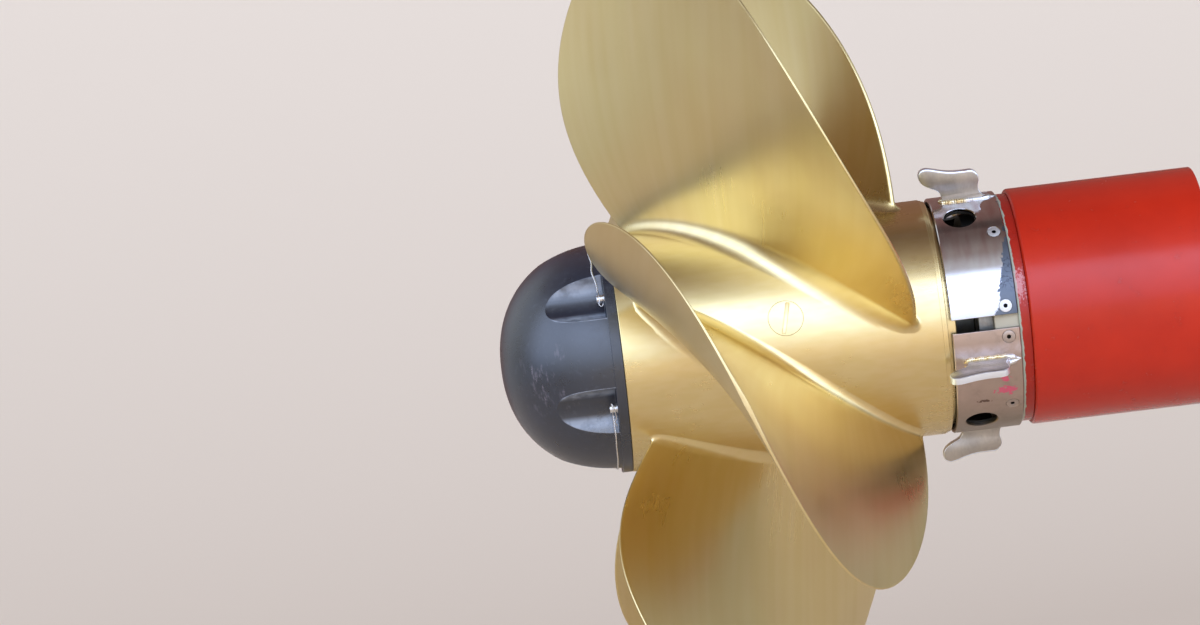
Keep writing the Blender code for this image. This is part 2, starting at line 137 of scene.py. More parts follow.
# How far each wire bows aft, and how much it waves
WIRE_SLACK = ((0.0055, 0.0013), (-0.0005, 0.0002), (0.0030, 0.0008))
WIRE_SHARES = (0.055, 0.10, 0.15, 0.21, 0.27, 0.36, 0.45, 0.55, 0.64, 0.73, 0.79, 0.85, 0.90, 0.945)

# Rope guard
GUARD_RADIUS = 0.1805
GUARD_WALL = 0.009
GUARD_SPLIT = 6.0
GUARD_SLOT = 0.021
GUARD_EDGE = 0.0013
GUARD_HALVES = (("upper", GUARD_SPLIT + 90.0), ("lower", GUARD_SPLIT + 270.0))
HOLE_RADIUS = 0.024
HOLE_STATION = 0.0385
HOLE_ANGLE = 30.5
SCREW_STATION = 0.0845
SCREW_ANGLES = (-82.5, -43.5, 0.0, 43.5, 82.5)
SCREW_RADIUS = 0.0098
SCREW_LOW_RADIUS = 0.0038
SCREW_HEIGHT = 0.0060
SCREW_SETBACK = 0.0003
SINK_GAP = 0.0009
SOCKET_LOW_RADIUS = 0.0029
SOCKET_RADIUS = 0.0031
SOCKET_DEPTH = 0.0050
SOCKET_EDGE_RADIUS = 0.0037
KNIFE_THICKNESS = 0.012
KNIFE_ANGLES = (12.0, -71.0)
KNIFE_CHAMFER = 0.0009
# The knife's outline in millimetres: forward of the guard's aft edge, and above the guard. It runs from the
# base up the throat, round the hook, forward along the top and down the forward edge to the toe.
KNIFE_OUTLINE = (
    (19.0, -1.0), (19.0, 6.0), (18.2, 12.5), (14.2, 18.5), (8.0, 22.3), (1.0, 25.6), (-6.0, 30.0), (-11.5, 36.5),
    (-13.4, 45.0), (-10.4, 52.0), (-3.5, 55.2), (6.0, 54.0), (24.0, 49.0), (40.0, 46.4), (56.0, 46.0), (66.5, 46.0),
    (73.0, 43.0), (77.4, 36.0), (77.9, 29.0), (76.0, 21.5), (76.6, 14.0), (79.5, 8.0), (83.5, 3.0), (83.5, -1.0),
)
WELD_START = 0.0135
WELD_END = 0.1005
WELD_TIP_START = 0.0785
WELD_STEPS = 220
WELD_RIPPLE = 0.0034
WELD_SIZE = 0.0030
WELD_WRAP = 0.0085
# Forward of this the bead is ground
WELD_GROUND = 0.052

# Ring, bearing, shaft and barrel
RING_RADIUS = 0.1745
LAND_RADIUS = 0.1712
LAND_LENGTH = 0.036
FLANGE_RADIUS = 0.150
FLANGE_LENGTH = 0.022
BARREL_RADIUS = 0.181
BARREL_EDGE = 0.0045
BORE_RADIUS = 0.097
BORE_DEPTH = 0.186
SHAFT_RADIUS = 0.075
TURN_STEPS = 180
ALONG_X = (0.0, math.pi / 2, 0.0)

# Floor, flat within its radius and rising beyond it, and the camera
FLOOR = -0.85
FLOOR_RADIUS = 6.0
FLOOR_COLOUR = (0.80, 0.66, 0.50)
RIM_RUN = 12.0
RIM_RISE = 3.6
RIM_ROWS = 24
RIM_SIDES = 128
CAMERA_PLACE = (-1.1704, -8.5774, 0.0628)
CAMERA_YAW = 0.029078
CAMERA_PITCH = 0.000528
CAMERA_ROLL = 0.120112
CAMERA_LENS = 168.6

# Light: brightness by the sine of the elevation on the viewer's side and elsewhere, and a bright soft window
SKY_TURN = math.radians(4.0)
SKY_HALF = math.radians(64.0)
SKY_SOFT = 0.22
SKY_FORWARD = 0.60
SKY_FRONT = (
    (0.00, (0.45, 0.46, 0.47)),
    (0.55, (0.46, 0.48, 0.50)),
    (0.72, (0.32, 0.32, 0.33)),
    (0.87, (0.18, 0.15, 0.14)),
    (1.00, (0.08, 0.055, 0.05)),
)
SKY_SIDES = (
    (0.00, (0.28, 0.28, 0.28)),
    (0.35, (0.42, 0.44, 0.46)),
    (0.62, (0.42, 0.44, 0.46)),
    (0.80, (0.18, 0.15, 0.14)),
    (1.00, (0.08, 0.055, 0.05)),
)
WINDOW = (0.87, 1.12, 1.72)
WINDOW_SIDES = (-45.0, 67.0)
WINDOW_HEIGHTS = (-8.0, 36.5)
WINDOW_EDGE = 8.0
# Its rise to the left by the turn, and its brightness by the height: (from, to, value there, and there)
WINDOW_LEAN = (-1.00, -0.12, 0.04, 0.0)
WINDOW_FADE = (-0.12, 0.45, 0.26, 1.0)
CEILING_BEHIND = (0.13, 0.075, 0.065)
SKY_STRENGTH = 2.0
LAMP_PLACE = (1.7, -4.2, 3.4)
LAMP_SIZE = (6.0, 3.0)
LAMP_POWER = 112.0


# -------- making and finishing meshes


def pick(*objs):
    """Selects these objects alone, the first one active."""
    bpy.ops.object.select_all(action="DESELECT")
    for obj in objs:
        obj.select_set(True)
    bpy.context.view_layer.objects.active = objs[0]


def object_from(name, made):
    """An object from a bmesh, which is used up."""
    data = bpy.data.meshes.new(name)
    made.to_mesh(data)
    made.free()
    obj = bpy.data.objects.new(name, data)
    bpy.context.scene.collection.objects.link(obj)
    return obj


def edit(obj, select_all=True):
    pick(obj)
    bpy.ops.object.mode_set(mode="EDIT")
    bpy.ops.mesh.select_mode(type="VERT")
    bpy.ops.mesh.select_all(action="SELECT" if select_all else "DESELECT")


def leave_edit():
    bpy.ops.object.mode_set(mode="OBJECT")


def close_up(obj, merge=0.00002):
    """Merges doubles and turns every face outwards."""
    edit(obj)
    bpy.ops.mesh.remove_doubles(threshold=merge)
    bpy.ops.mesh.normals_make_consistent(inside=False)
    leave_edit()


def settle(obj):
    """Leaves the place in the mesh, and the object at the origin, unturned and unscaled."""
    pick(obj)
    bpy.ops.object.transform_apply(location=True, rotation=True, scale=True)
    return obj


def applied(obj, kind, **values):
    """Adds a modifier with these values and applies it."""
    pick(obj)
    modifier = obj.modifiers.new(kind.lower(), kind)
    for name, value in values.items():
        setattr(modifier, name, value)
    bpy.ops.object.modifier_apply(modifier=modifier.name)
    return obj


def bevelled(obj, width, segments, angle=30.0):
    """Rounds the edges that bend by more than an angle."""
    limit = math.radians(angle)
    return applied(obj, "BEVEL", width=width, segments=segments, limit_method="ANGLE", angle_limit=limit)


def carve(obj, tool):
    """Cuts the tool out of the object, and removes the tool."""
    applied(obj, "BOOLEAN", object=tool, operation="DIFFERENCE", solver="EXACT")
    bpy.data.objects.remove(tool)


def joined(objs):
    """The first of the objects, with the others joined to it."""
    pick(*objs)
    bpy.ops.object.join()
    return objs[0]


def smoothed(obj, angle=32.0):
    pick(obj)
    bpy.ops.object.shade_smooth_by_angle(angle=math.radians(angle))
    return obj


def copy_of(obj, name):
    """A copy with its own mesh."""
    twin = obj.copy()
    twin.data = obj.data.copy()
    twin.name = name
    bpy.context.scene.collection.objects.link(twin)
    return twin


def turned_by(obj, angle):
    """Turns the finished mesh about the shaft."""
    obj.data.transform(Matrix.Rotation(math.radians(angle), 4, "X"))
    return obj


def true_normals(obj, rules):
    """Gives the corners on curved skins that boolean cuts went through the skin's own normal, so that it shades
    as one surface. Each rule takes a point and the face's normal, and answers with a normal or None."""
    mesh = obj.data
    normals = [Vector(corner.vector) for corner in mesh.corner_normals]
    for face in mesh.polygons:
        for index in face.loop_indices:
            point = mesh.vertices[mesh.loops[index].vertex_index].co
            for rule in rules:
                found = rule(point, face.normal)
                if found is not None:
                    normals[index] = found
                    break
    mesh.normals_split_custom_set([tuple(normal) for normal in normals])


def cylinder_rule(radius, outwards=1.0):
    """The rule for a skin that is a cylinder about the shaft."""

    def rule(point, normal):
        away = Vector((0.0, point.y, point.z))
        if abs(away.length - radius) > 0.0002:
            return None
        away = away.normalized() * outwards
        return away if away.dot(normal) > 0.97 else None

    return rule


def ready(obj, body, material, slot, *nodes):
    """Last step for each piece: its finish, its body, and the CAD nodes that it stands for. The slot is not used."""
    settle(obj)
    obj.data.materials.clear()
    obj.data.materials.append(material)
    if nodes:
        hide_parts(*nodes)
    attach(obj, body)
    return obj


def bridged(made, loops):
    """Faces between each closed loop of vertices and the next."""
    for lower, upper in zip(loops, loops[1:]):
        for j in range(len(lower)):
            k = (j + 1) % len(lower)
            made.faces.new((lower[j], lower[k], upper[k], upper[j]))


def closed_skin(name, rings):
    """A closed piece from rings of points, with a flat face at each end."""
    made = bmesh.new()
    loops = [[made.verts.new(point) for point in ring] for ring in rings]
    bridged(made, loops)
    made.faces.new(loops[0][::-1])
    made.faces.new(loops[-1])
    bmesh.ops.recalc_face_normals(made, faces=made.faces)
    return object_from(name, made)


def spun(name, profile, start=0.0, sweep=360.0, steps=TURN_STEPS):
    """A ring or a part of one, spun about the shaft from a closed profile of (station, radius) points."""
    made = bmesh.new()
    turn = math.radians(start)
    points = [made.verts.new((x, r * math.cos(turn), r * math.sin(turn))) for x, r in profile]
    for first, second in zip(points, points[1:] + points[:1]):
        made.edges.new((first, second))
    if sweep < 360.0:
        made.faces.new(points)
    obj = object_from(name, made)
    edit(obj)
    # Spin turns against the right-hand rule
    bpy.ops.mesh.spin(steps=steps, angle=math.radians(sweep), center=(0.0, 0.0, 0.0), axis=(-1.0, 0.0, 0.0))
    leave_edit()
    close_up(obj)
    return obj


def band(fore, aft, inner, outer, fore_cut=None, aft_cut=None):
    """A ring's profile between two stations, with its outer corners cut by (along, inwards) where given."""
    profile = [(fore, inner), (fore, outer), (aft, outer), (aft, inner)]
    if aft_cut:
        profile[2:3] = [(aft + aft_cut[0], outer), (aft, outer - aft_cut[1])]
    if fore_cut:
        profile[1:2] = [(fore, outer - fore_cut[1]), (fore - fore_cut[0], outer)]
    return profile


def turned_piece(name, profile, body, material, slot, *nodes):
    """A whole ring or shaft, spun from its profile and finished."""
    ready(smoothed(spun(name, profile)), body, material, slot, *nodes)


def cylinder(radius, depth, place, turn=(0.0, 0.0, 0.0), sides=48):
    bpy.ops.mesh.primitive_cylinder_add(vertices=sides, radius=radius, depth=depth, location=place, rotation=turn)
    return settle(bpy.context.object)


def cone(low, high, depth, height, station=0.0, sides=48):
    """A cone's stump along Z, with its lower and upper radius and its middle at a height."""
    bpy.ops.mesh.primitive_cone_add(
        vertices=sides, radius1=low, radius2=high, depth=depth, location=(station, 0.0, height)
    )
    return settle(bpy.context.object)


def radial_tool(low, high, inner, outer, station, angle, sides=72):
    """A cylinder or cone that points away from the shaft, between two distances from it."""
    return turned_by(cone(low, high, outer - inner, (inner + outer) / 2, station, sides), angle - 90.0)


# -------- finishes


def finish(name, colour, metallic, roughness, **sockets):
    """A material with its plain values on the shader's own sockets."""
    made = bpy.data.materials.new(name)
    made.use_nodes = True
    shader = made.node_tree.nodes["Principled BSDF"]
    shader.inputs["Base Color"].default_value = (*colour, 1.0)
    shader.inputs["Metallic"].default_value = metallic
    shader.inputs["Roughness"].default_value = roughness
    for socket, value in sockets.items():
        shader.inputs[socket.replace("_", " ").title().replace("Ior", "IOR")].default_value = value
    return made


def darker(colour, share):
    return tuple(value * share for value in colour)


class Value:
    """A node's output, which takes part in sums as a number does."""

    def __init__(self, nodes, socket):
        self.nodes = nodes
        self.socket = socket

    def __add__(self, other):
        return self.nodes.math("ADD", self, other)

    def __sub__(self, other):
        return self.nodes.math("SUBTRACT", self, other)

    def __mul__(self, other):
        return self.nodes.math("MULTIPLY", self, other)

    def __truediv__(self, other):
        return self.nodes.math("DIVIDE", self, other)

    def __abs__(self):
        return self.nodes.math("ABSOLUTE", self)


class Nodes:
    """Short ways to lay a material's nodes."""

    def __init__(self, tree):
        self.tree = tree
        self.shader = tree.nodes.get("Principled BSDF")
        self.place = self.get("ShaderNodeTexCoord", "Object")

    def put(self, socket, value):
        if isinstance(value, Value):
            self.tree.links.new(value.socket, socket)
        else:
            socket.default_value = value

    def get(self, kind, key=0, inputs=(), **settings):
        """The output of a new node with these settings and inputs."""
        made = self.tree.nodes.new(kind)
        for name, value in settings.items():
            setattr(made, name, value)
        for socket, value in dict(inputs).items():
            self.put(made.inputs[socket], value)
        return Value(self, made.outputs[key])

    def math(self, operation, first, second=0.0):
        return self.get("ShaderNodeMath", 0, {0: first, 1: second}, operation=operation)

    def highest(self, first, second):
        return self.math("MAXIMUM", first, second)

    def vector(self, operation, first, second=(0.0, 0.0, 0.0)):
        key = 1 if operation in ("LENGTH", "DOT_PRODUCT") else 0
        return self.get("ShaderNodeVectorMath", key, {0: first, 1: second}, operation=operation)

    def split(self, vector=None):
        made = self.get("ShaderNodeSeparateXYZ", 0, {0: vector or self.place}).socket.node
        return [Value(self, socket) for socket in made.outputs]

    def join(self, x, y, z):
        return self.get("ShaderNodeCombineXYZ", 0, {0: x, 1: y, 2: z})

    def length(self, x, y, z):
        return self.vector("LENGTH", self.join(x, y, z))

    def reach(self, point, scale):
        """The distance from a point, with each direction scaled."""
        return self.vector("LENGTH", self.scaled(scale, self.vector("SUBTRACT", self.place, point)))

    def scaled(self, scale, vector=None):
        return self.get("ShaderNodeMapping", 0, {"Vector": vector or self.place, "Scale": scale})

    def noise(self, scale, detail=3.0, rough=0.5, vector=None):
        inputs = {"Vector": vector or self.place, "Scale": scale, "Detail": detail, "Roughness": rough}
        return self.get("ShaderNodeTexNoise", "Fac", inputs)

    def spots(self, scale, vector=None):
        return self.get("ShaderNodeTexVoronoi", "Distance", {"Vector": vector or self.place, "Scale": scale})

    def step(self, value, low, high, to_low=0.0, to_high=1.0, curve="LINEAR"):
        inputs = {"Value": value, "From Min": low, "From Max": high, "To Min": to_low, "To Max": to_high}
        return self.get("ShaderNodeMapRange", 0, inputs, interpolation_type=curve)

    def ramp(self, value, *stops, curve="LINEAR"):
        made = self.get("ShaderNodeValToRGB", "Color", {"Fac": value})
        ramp = made.socket.node.color_ramp
        ramp.interpolation = curve
        for element, (position, colour) in zip(ramp.elements, (stops[0], stops[-1])):
            element.position = position
            element.color = (*colour, 1.0)
        for position, colour in stops[1:-1]:
            ramp.elements.new(position).color = (*colour, 1.0)
        return made

    def mix(self, share, first, second, blend="MIX"):
        first, second = [(*value, 1.0) if isinstance(value, tuple) else value for value in (first, second)]
        inputs = {0: share, 6: first, 7: second}
        return self.get("ShaderNodeMix", 2, inputs, data_type="RGBA", blend_type=blend)

    def colour(self, value):
        self.put(self.shader.inputs["Base Color"], value)

    def rough(self, value):
        self.put(self.shader.inputs["Roughness"], value)

    def bump(self, height, strength, distance):
        inputs = {"Height": height, "Strength": strength, "Distance": distance}
        self.put(self.shader.inputs["Normal"], self.get("ShaderNodeBump", 0, inputs))


def bronze_finish(name):
    """Ground and polished bronze: gold with browner and paler clouds, and soft grinding marks that run
    outwards."""
    made = finish(name, (0.62, 0.47, 0.25), 1.0, 0.27)
    n = Nodes(made.node_tree)
    x, y, z = n.split()
    away = n.length(0.0, y, z)
    _, across, up = n.split(n.vector("NORMALIZE", n.join(0.0, y, z)))
    marks_at = n.join(x * 90.0 + away * 5.0, across * 55.0, up * 55.0)
    grain = n.step(n.noise(0.8, 1.0, 0.5, marks_at), 0.3, 0.7, -0.016, 0.016)
    streaks = n.noise(0.35, 1.0, 0.5, marks_at)
    clouds = n.noise(3.2, 2.0)
    blotches = n.noise(7.0, 2.0)
    gold = n.ramp(
        clouds,
        (0.30, (0.690, 0.530, 0.250)),
        (0.45, (0.710, 0.565, 0.270)),
        (0.58, (0.730, 0.600, 0.295)),
        (0.72, (0.700, 0.575, 0.290)),
    )
    gold = n.mix(n.step(blotches, 0.50, 0.80, 0.0, 0.4), gold, (0.70, 0.52, 0.27))
    n.colour(n.mix(n.step(streaks, 0.35, 0.70, 0.0, 0.16), gold, (0.86, 0.74, 0.50)))
    # Satin out on the blades, glossier by the root
    n.rough(n.step(blotches, 0.3, 0.7, 0.265, 0.325) + n.step(away, 0.30, 0.48, 0.0, 0.11) + grain)
    return made


def cap_finish():
    """Turned blue-black plastic: faint clouds and turning marks, pale scuffs low on the side, and painted
    highlights along the edges of the milled pockets."""
    made = finish("cap_plastic", (0.016, 0.022, 0.034), 0.0, 0.30, specular_ior_level=1.0)
    n = Nodes(made.node_tree)
    x, y, z = n.split()
    away = n.length(0.0, y, z)
    clouds = n.noise(14.0, 4.0, 0.6)
    base = n.ramp(clouds, (0.30, (0.007, 0.011, 0.019)), (0.55, (0.011, 0.017, 0.030)), (0.75, (0.019, 0.027, 0.044)))
    specks = n.noise(130.0, 2.0, 0.6)
    base = n.mix(n.step(specks, 0.58, 0.75, 0.0, 0.25), base, (0.075, 0.085, 0.105))
    # Scuffs: broken streaks on the lower aft side
    near = n.step(n.reach((-1.015, -0.150, -0.025), (15.0, 9.0, 15.0)), 0.25, 1.0, 1.0, 0.0)
    streaks = n.noise(70.0, 5.0, 0.75, n.scaled((1.0, 1.0, 0.35)))
    base = n.mix(near * n.step(streaks, 0.56, 0.68) * 0.6, base, (0.26, 0.22, 0.26))
    # Painted highlight along the pocket edges, found from the distance to the milling tool's axis
    step = math.radians(POCKET_STEP)
    local = n.math("ARCTAN2", z, y) - (math.radians(POCKET_ANGLE) - 3 * math.tau - step / 2)
    local = n.math("MODULO", local, step) - step / 2
    outwards = away * n.math("COSINE", local) - (POCKET_FLOOR_RADIUS + POCKET_TOOL_RADIUS)
    from_tool = n.length(0.0, away * n.math("SINE", local), outwards)
    rim = n.step(abs(from_tool - (POCKET_TOOL_RADIUS + 0.0003)), 0.0003, 0.0009, 1.0, 0.0)
    wall = JOINT - CAP_RIM_WIDTH
    rim = rim * n.step(x, wall + 0.0002, wall + 0.0006, 1.0, 0.0) * n.step(away, 0.152, 0.156)
    rim = rim * n.step(n.noise(60.0, 2.0), 0.30, 0.55, 0.35, 1.0)
    n.colour(n.mix(rim * 0.85, base, (0.27, 0.30, 0.35)))
    rings = n.noise(1.0, 2.0, 0.5, n.join(x * 900.0, away * 900.0, 0.0))
    n.rough(n.step(clouds, 0.3, 0.7, 0.25, 0.34) + n.step(specks, 0.45, 0.7, 0.0, 0.06))
    n.bump(rings * 0.5 + specks, 0.12, 0.0004)
    return made


def steel_finish(name, colour, low, high, marks, stretch=(1.0, 1.0, 1.0), stain=None, rim=None):
    """Stainless or bare steel with grinding marks, clouds of roughness and a light stain."""
    made = finish(name, colour, 1.0, (low + high) / 2)
    n = Nodes(made.node_tree)
    clouds = n.noise(18.0, 4.0, 0.6)
    grain = n.noise(marks, 3.0, 0.6, n.scaled(stretch))
    base = n.mix(n.step(clouds, 0.35, 0.68), colour, darker(colour, 0.74))
    if stain:
        base = n.mix(n.step(n.noise(33.0, 5.0, 0.65), 0.55, 0.75, 0.0, 0.55), base, stain)
    base = n.mix(n.step(grain, 0.4, 0.75, 0.0, 0.25), base, darker(colour, 0.6))
    if rim:
        # The part in another tone: a bright ground edge on the knives, and painted shade in the screws' sockets
        ground = n.get("ShaderNodeAttribute", "Fac", attribute_name="rim")
        ground = n.step(ground + n.step(clouds, 0.3, 0.7, -0.12, 0.12), 0.45, 0.60)
        base = n.mix(ground, base, rim)
    n.colour(base)
    n.rough(n.step(clouds, 0.3, 0.7, low, high) + n.step(grain, 0.35, 0.7, -0.04, 0.06))
    n.bump(grain, 0.12, 0.0003)
    return made


def guard_finish(name, polished):
    """Rolled stainless plate, raw inside and darkened there with painted shade. The upper half is mirror polished
    with an etched band along its forward edge, the lower one is dull, rosy and brushed, with pink marker strokes
    and painted shade darkening it towards the bottom."""
    colour = (0.66, 0.645, 0.655) if polished else (0.53, 0.415, 0.365)
    made = finish(name, colour, 1.0, 0.12 if polished else 0.34)
    n = Nodes(made.node_tree)
    x, y, z = n.split()
    turn = n.math("ARCTAN2", z, y * -1.0)
    clouds = n.noise(16.0, 4.0, 0.6)
    grain = n.noise(1.0, 3.0, 0.65, n.scaled((55.0, 900.0, 900.0)))
    waves = n.noise(45.0, 4.0, 0.7)

    def patch(at_x, at_turn, half_x, half_turn, ragged):
        """A patch with a ragged edge on the plate, from 0 to 1."""
        reach = n.length((x - at_x) / half_x, (turn - math.radians(at_turn)) / math.radians(half_turn), 0.0)
        return n.step(reach + n.step(ragged, 0.3, 0.7, -0.6, 0.6), 0.85, 1.0, 1.0, 0.0)

    if polished:
        base = n.mix(n.step(clouds, 0.40, 0.72, 0.0, 0.6), colour, (0.50, 0.46, 0.48))
        streaks = n.noise(1.0, 1.0, 0.5, n.join(x * 75.0, turn * 3.5, 0.0))
        stained = n.step(turn, 0.30, 0.55) * n.step(streaks, 0.40, 0.70, 0.0, 0.5)
        base = n.mix(stained, base, (0.48, 0.32, 0.33))
        # The etched band's ragged aft limit, and the squiggles in it
        limit = n.step(turn, 0.34, 0.80, -0.321, -0.3035) + n.step(turn, -0.03, 0.34, -0.015, 0.0)
        etched = n.step(x - (limit + n.step(waves, 0.3, 0.7, -0.0055, 0.0055)), -0.0004, 0.0006)
        base = n.mix(etched, base, n.mix(n.step(clouds, 0.35, 0.65), (0.105, 0.120, 0.150), (0.150, 0.165, 0.190)))
        lines = n.step(abs(n.noise(120.0, 2.0) - 0.5), 0.010, 0.030, 1.0, 0.0) * etched
        lines = lines * n.step(turn, 0.13, 0.20) * n.step(turn, 0.40, 0.48, 1.0, 0.0)
        base = n.mix(lines * 0.75, base, (0.03, 0.025, 0.04))
        rough = n.highest(n.step(clouds, 0.3, 0.7, 0.085, 0.155), etched * 0.46)
    else:
        base = n.mix(n.step(clouds, 0.35, 0.70), colour, (0.45, 0.355, 0.305))
        base = n.mix(n.step(n.noise(60.0, 5.0, 0.7), 0.52, 0.78, 0.0, 0.5), base, (0.30, 0.25, 0.22))
        band = n.step(abs(turn + 0.34), 0.02, 0.075, 1.0, 0.0)
        base = n.mix(band * n.step(waves, 0.35, 0.6, 0.25, 0.8), base, (0.70, 0.62, 0.66))
        # Painted shade: the lower half gets darker towards the bottom
        base = n.mix(n.step(turn, -1.20, -0.80, 0.6, 0.0), base, (0.22, 0.20, 0.15))
        strokes = n.noise(150.0, 3.0, 0.6)
        marks = n.highest(patch(-0.3314, -42.5, 0.016, 2.6, strokes), patch(-0.3300, -35.4, 0.007, 1.7, strokes))
        base = n.mix(marks * 0.8, base, (0.85, 0.14, 0.28))
        nick = patch(-0.3636, -48.3, 0.009, 0.9, n.noise(260.0, 2.0))
        base = n.mix(nick * 0.8, base, (0.10, 0.05, 0.04))
        rough = n.step(clouds, 0.3, 0.7, 0.30, 0.40) + marks * 0.2
    scratches = n.step(n.spots(150.0, n.scaled((0.35, 1.0, 1.0))), 0.02, 0.05, 1.0, 0.0)
    scratches = scratches * n.step(n.noise(20.0, 1.0), 0.60, 0.66)
    base = n.mix(scratches * 0.6, base, (0.10, 0.08, 0.08))
    # Painted shade: the inside of the plate and the inner part of its edges are near black
    inside = n.step(n.length(0.0, y, z), GUARD_RADIUS - 0.0060, GUARD_RADIUS - 0.0030, 1.0, 0.0)
    n.colour(n.mix(inside, base, (0.085, 0.080, 0.070)))
    n.rough(n.highest(rough + n.step(grain, 0.3, 0.7, -0.025, 0.035), inside * 0.6))
    n.bump(grain, 0.05 if polished else 0.12, 0.0002)
    return made


def paint_finish(name, colour, shade, roughness, chips):
    """Thick gloss paint with orange peel, brush sags, grime in patches and small chips."""
    made = finish(name, colour, 0.0, roughness, specular_ior_level=0.32, coat_weight=0.06, coat_roughness=0.10)
    n = Nodes(made.node_tree)
    base = n.mix(n.step(n.noise(5.0, 5.0, 0.6), 0.35, 0.72), colour, shade)
    grime = n.noise(38.0, 5.0, 0.7)
    base = n.mix(n.step(grime, 0.60, 0.82, 0.0, 0.5), base, darker(shade, 0.45))
    specks = n.step(n.spots(75.0), 0.03, 0.07, 1.0, 0.0) * n.step(n.noise(13.0, 1.0), 0.62, 0.68)
    base = n.mix(specks * 0.8, base, chips)
    if name == "ring_paint":
        # Worn to the primer along the guard, and a painted highlight in one place: a pale pink spot with a ragged edge
        worn = n.split()[0] + n.step(n.noise(70.0, 3.0, 0.6), 0.3, 0.7, -0.0014, 0.0014)
        base = n.mix(n.step(worn, GUARD_FRONT + 0.0036, GUARD_FRONT + 0.0044, 0.85, 0.0), base, (0.36, 0.44, 0.33))
        pink_highlight_spot = n.reach((-0.2950, -0.1705, 0.034), (80.0, 60.0, 42.0))
        pink_highlight_spot = pink_highlight_spot + n.step(n.noise(190.0, 4.0, 0.8), 0.3, 0.7, -0.9, 0.9)
        base = n.mix(n.step(pink_highlight_spot, 0.55, 0.95, 0.60, 0.0), base, (0.66, 0.34, 0.34))
    n.colour(base)
    n.rough(n.step(grime, 0.3, 0.8, roughness - 0.05, roughness + 0.12) + specks * 0.3)
    n.bump(n.noise(240.0, 2.0) * 0.25 + n.noise(24.0, 2.0), 0.14, 0.0012)
    return made


def weld_finish():
    """Weld bead: straw and gold tints on its aft part, ground silver forward."""
    made = finish("weld_bead", (0.75, 0.60, 0.36), 1.0, 0.28)
    n = Nodes(made.node_tree)
    x, _, z = n.split()
    tint = n.noise(130.0, 3.0, 0.6)
    end = n.step(z, -0.06, 0.06, GUARD_AFT + 0.078, GUARD_AFT + 0.056)
    gold = n.ramp(tint, (0.30, (0.55, 0.36, 0.14)), (0.50, (0.80, 0.66, 0.38)), (0.70, (0.86, 0.80, 0.68)))
    silver = n.mix(tint, (0.62, 0.62, 0.62), (0.90, 0.90, 0.90))
    n.colour(n.mix(n.step(x - end, -0.005, 0.005), gold, silver))
    n.rough(n.step(tint, 0.3, 0.7, 0.20, 0.40))
    n.bump(n.noise(600.0, 2.0, 0.6), 0.15, 0.0003)
    return made


def rubber_finish():
    made = finish("bearing_rubber", (0.018, 0.018, 0.018), 0.0, 0.7)
    n = Nodes(made.node_tree)
    dust = n.noise(90.0, 4.0, 0.65)
    n.colour(n.ramp(dust, (0.35, (0.012, 0.012, 0.012)), (0.75, (0.045, 0.042, 0.038))))
    n.rough(n.step(dust, 0.3, 0.7, 0.6, 0.85))
    n.bump(dust, 0.3, 0.0005)
    return made


# -------- propeller casting


def law(values, share):
    """The smooth law through values at even steps from root to tip, read at a share from 0 to 1."""
    last = len(values) - 1
    total = 0.0
    for i, value in enumerate(values):
        weight = 1.0
        for j in range(len(values)):
            if j != i:
                weight *= (share * last - j) / (i - j)
        total += weight * value
    return total


def columns_of_section():
    """The points of a section in order: round the trailing edge, forward along the back, round the leading edge,
    and aft along the face. Each is (kind, place), where the place is a run along the side or an angle."""
    turn = 180.0 / (END_POINTS + 1)
    runs = [-math.cos(math.pi * i / (CHORD_POINTS + 1)) for i in range(1, CHORD_POINTS + 1)]
    ends = [90.0 - turn * k for k in range(1, END_POINTS + 1)]
    tail = [("tail", 180.0 - angle) for angle in ends[::-1]]
    return (
        tail
        + [("back", run) for run in runs]
        + [("nose", angle) for angle in ends]
        + [("face", run) for run in runs[::-1]]
    )


def fillet_of(kind, place):
    """The root fillet's radius at a point of the section, largest in the middle of each side."""
    if kind in ("tail", "nose"):
        return END_FILLET
    full = (1.0 - place * place) ** FILLET_FULLNESS
    middle = BACK_FILLET if kind == "back" else FACE_FILLET
    return END_FILLET + (middle - END_FILLET) * full


def skin_place(kind, place, height, flare):
    """(radius, station, turn) of a point of the blade's skin at a height over the hub."""
    radius = HUB_RADIUS + height
    share = height / (LAW_RADIUS - HUB_RADIUS)
    stretch = (LAW_RADIUS - HUB_RADIUS) / (TIP_RADIUS - HUB_RADIUS)
    closing = math.sqrt(max(1.0 - (share * stretch) ** TIP_FULLNESS, 0.0))
    leading = law(LEADING_REACH, share) * closing
    trailing = law(TRAILING_REACH, share) * closing
    skew = law(SKEW, share)
    pitch_angle = math.atan2(law(PITCH, share), math.tau * radius)
    thickness = ROOT_THICKNESS + (TIP_THICKNESS - ROOT_THICKNESS) * share
    nose_radius = EDGE_RADIUS + (ROOT_NOSE_RADIUS - EDGE_RADIUS) * (1.0 - share) ** 1.5
    if kind in ("tail", "nose"):
        end = leading if kind == "nose" else -trailing
        edge = (nose_radius if kind == "nose" else EDGE_RADIUS) + flare
        along = end + skew + edge * math.cos(math.radians(place))
        across = edge * math.sin(math.radians(place))
    else:
        full = (1.0 - place * place) ** SECTION_FULLNESS
        side_share = BACK_SHARE if kind == "back" else 1.0 - BACK_SHARE
        along = (leading - trailing + place * (leading + trailing)) / 2 + skew
        edge = EDGE_RADIUS + (nose_radius - EDGE_RADIUS) * (1.0 + place) / 2
        across = side_share * thickness * full + edge * (1.0 - full) + flare
        across = across if kind == "back" else -across
    station = JOINT + law(RAKE_LINE, share) + along * math.sin(pitch_angle) + across * math.cos(pitch_angle)
    turn = (along * math.cos(pitch_angle) - across * math.sin(pitch_angle)) / radius
    return radius, station, turn


def in_space(radius, station, turn):
    return Vector((station, radius * math.cos(turn), radius * math.sin(turn)))


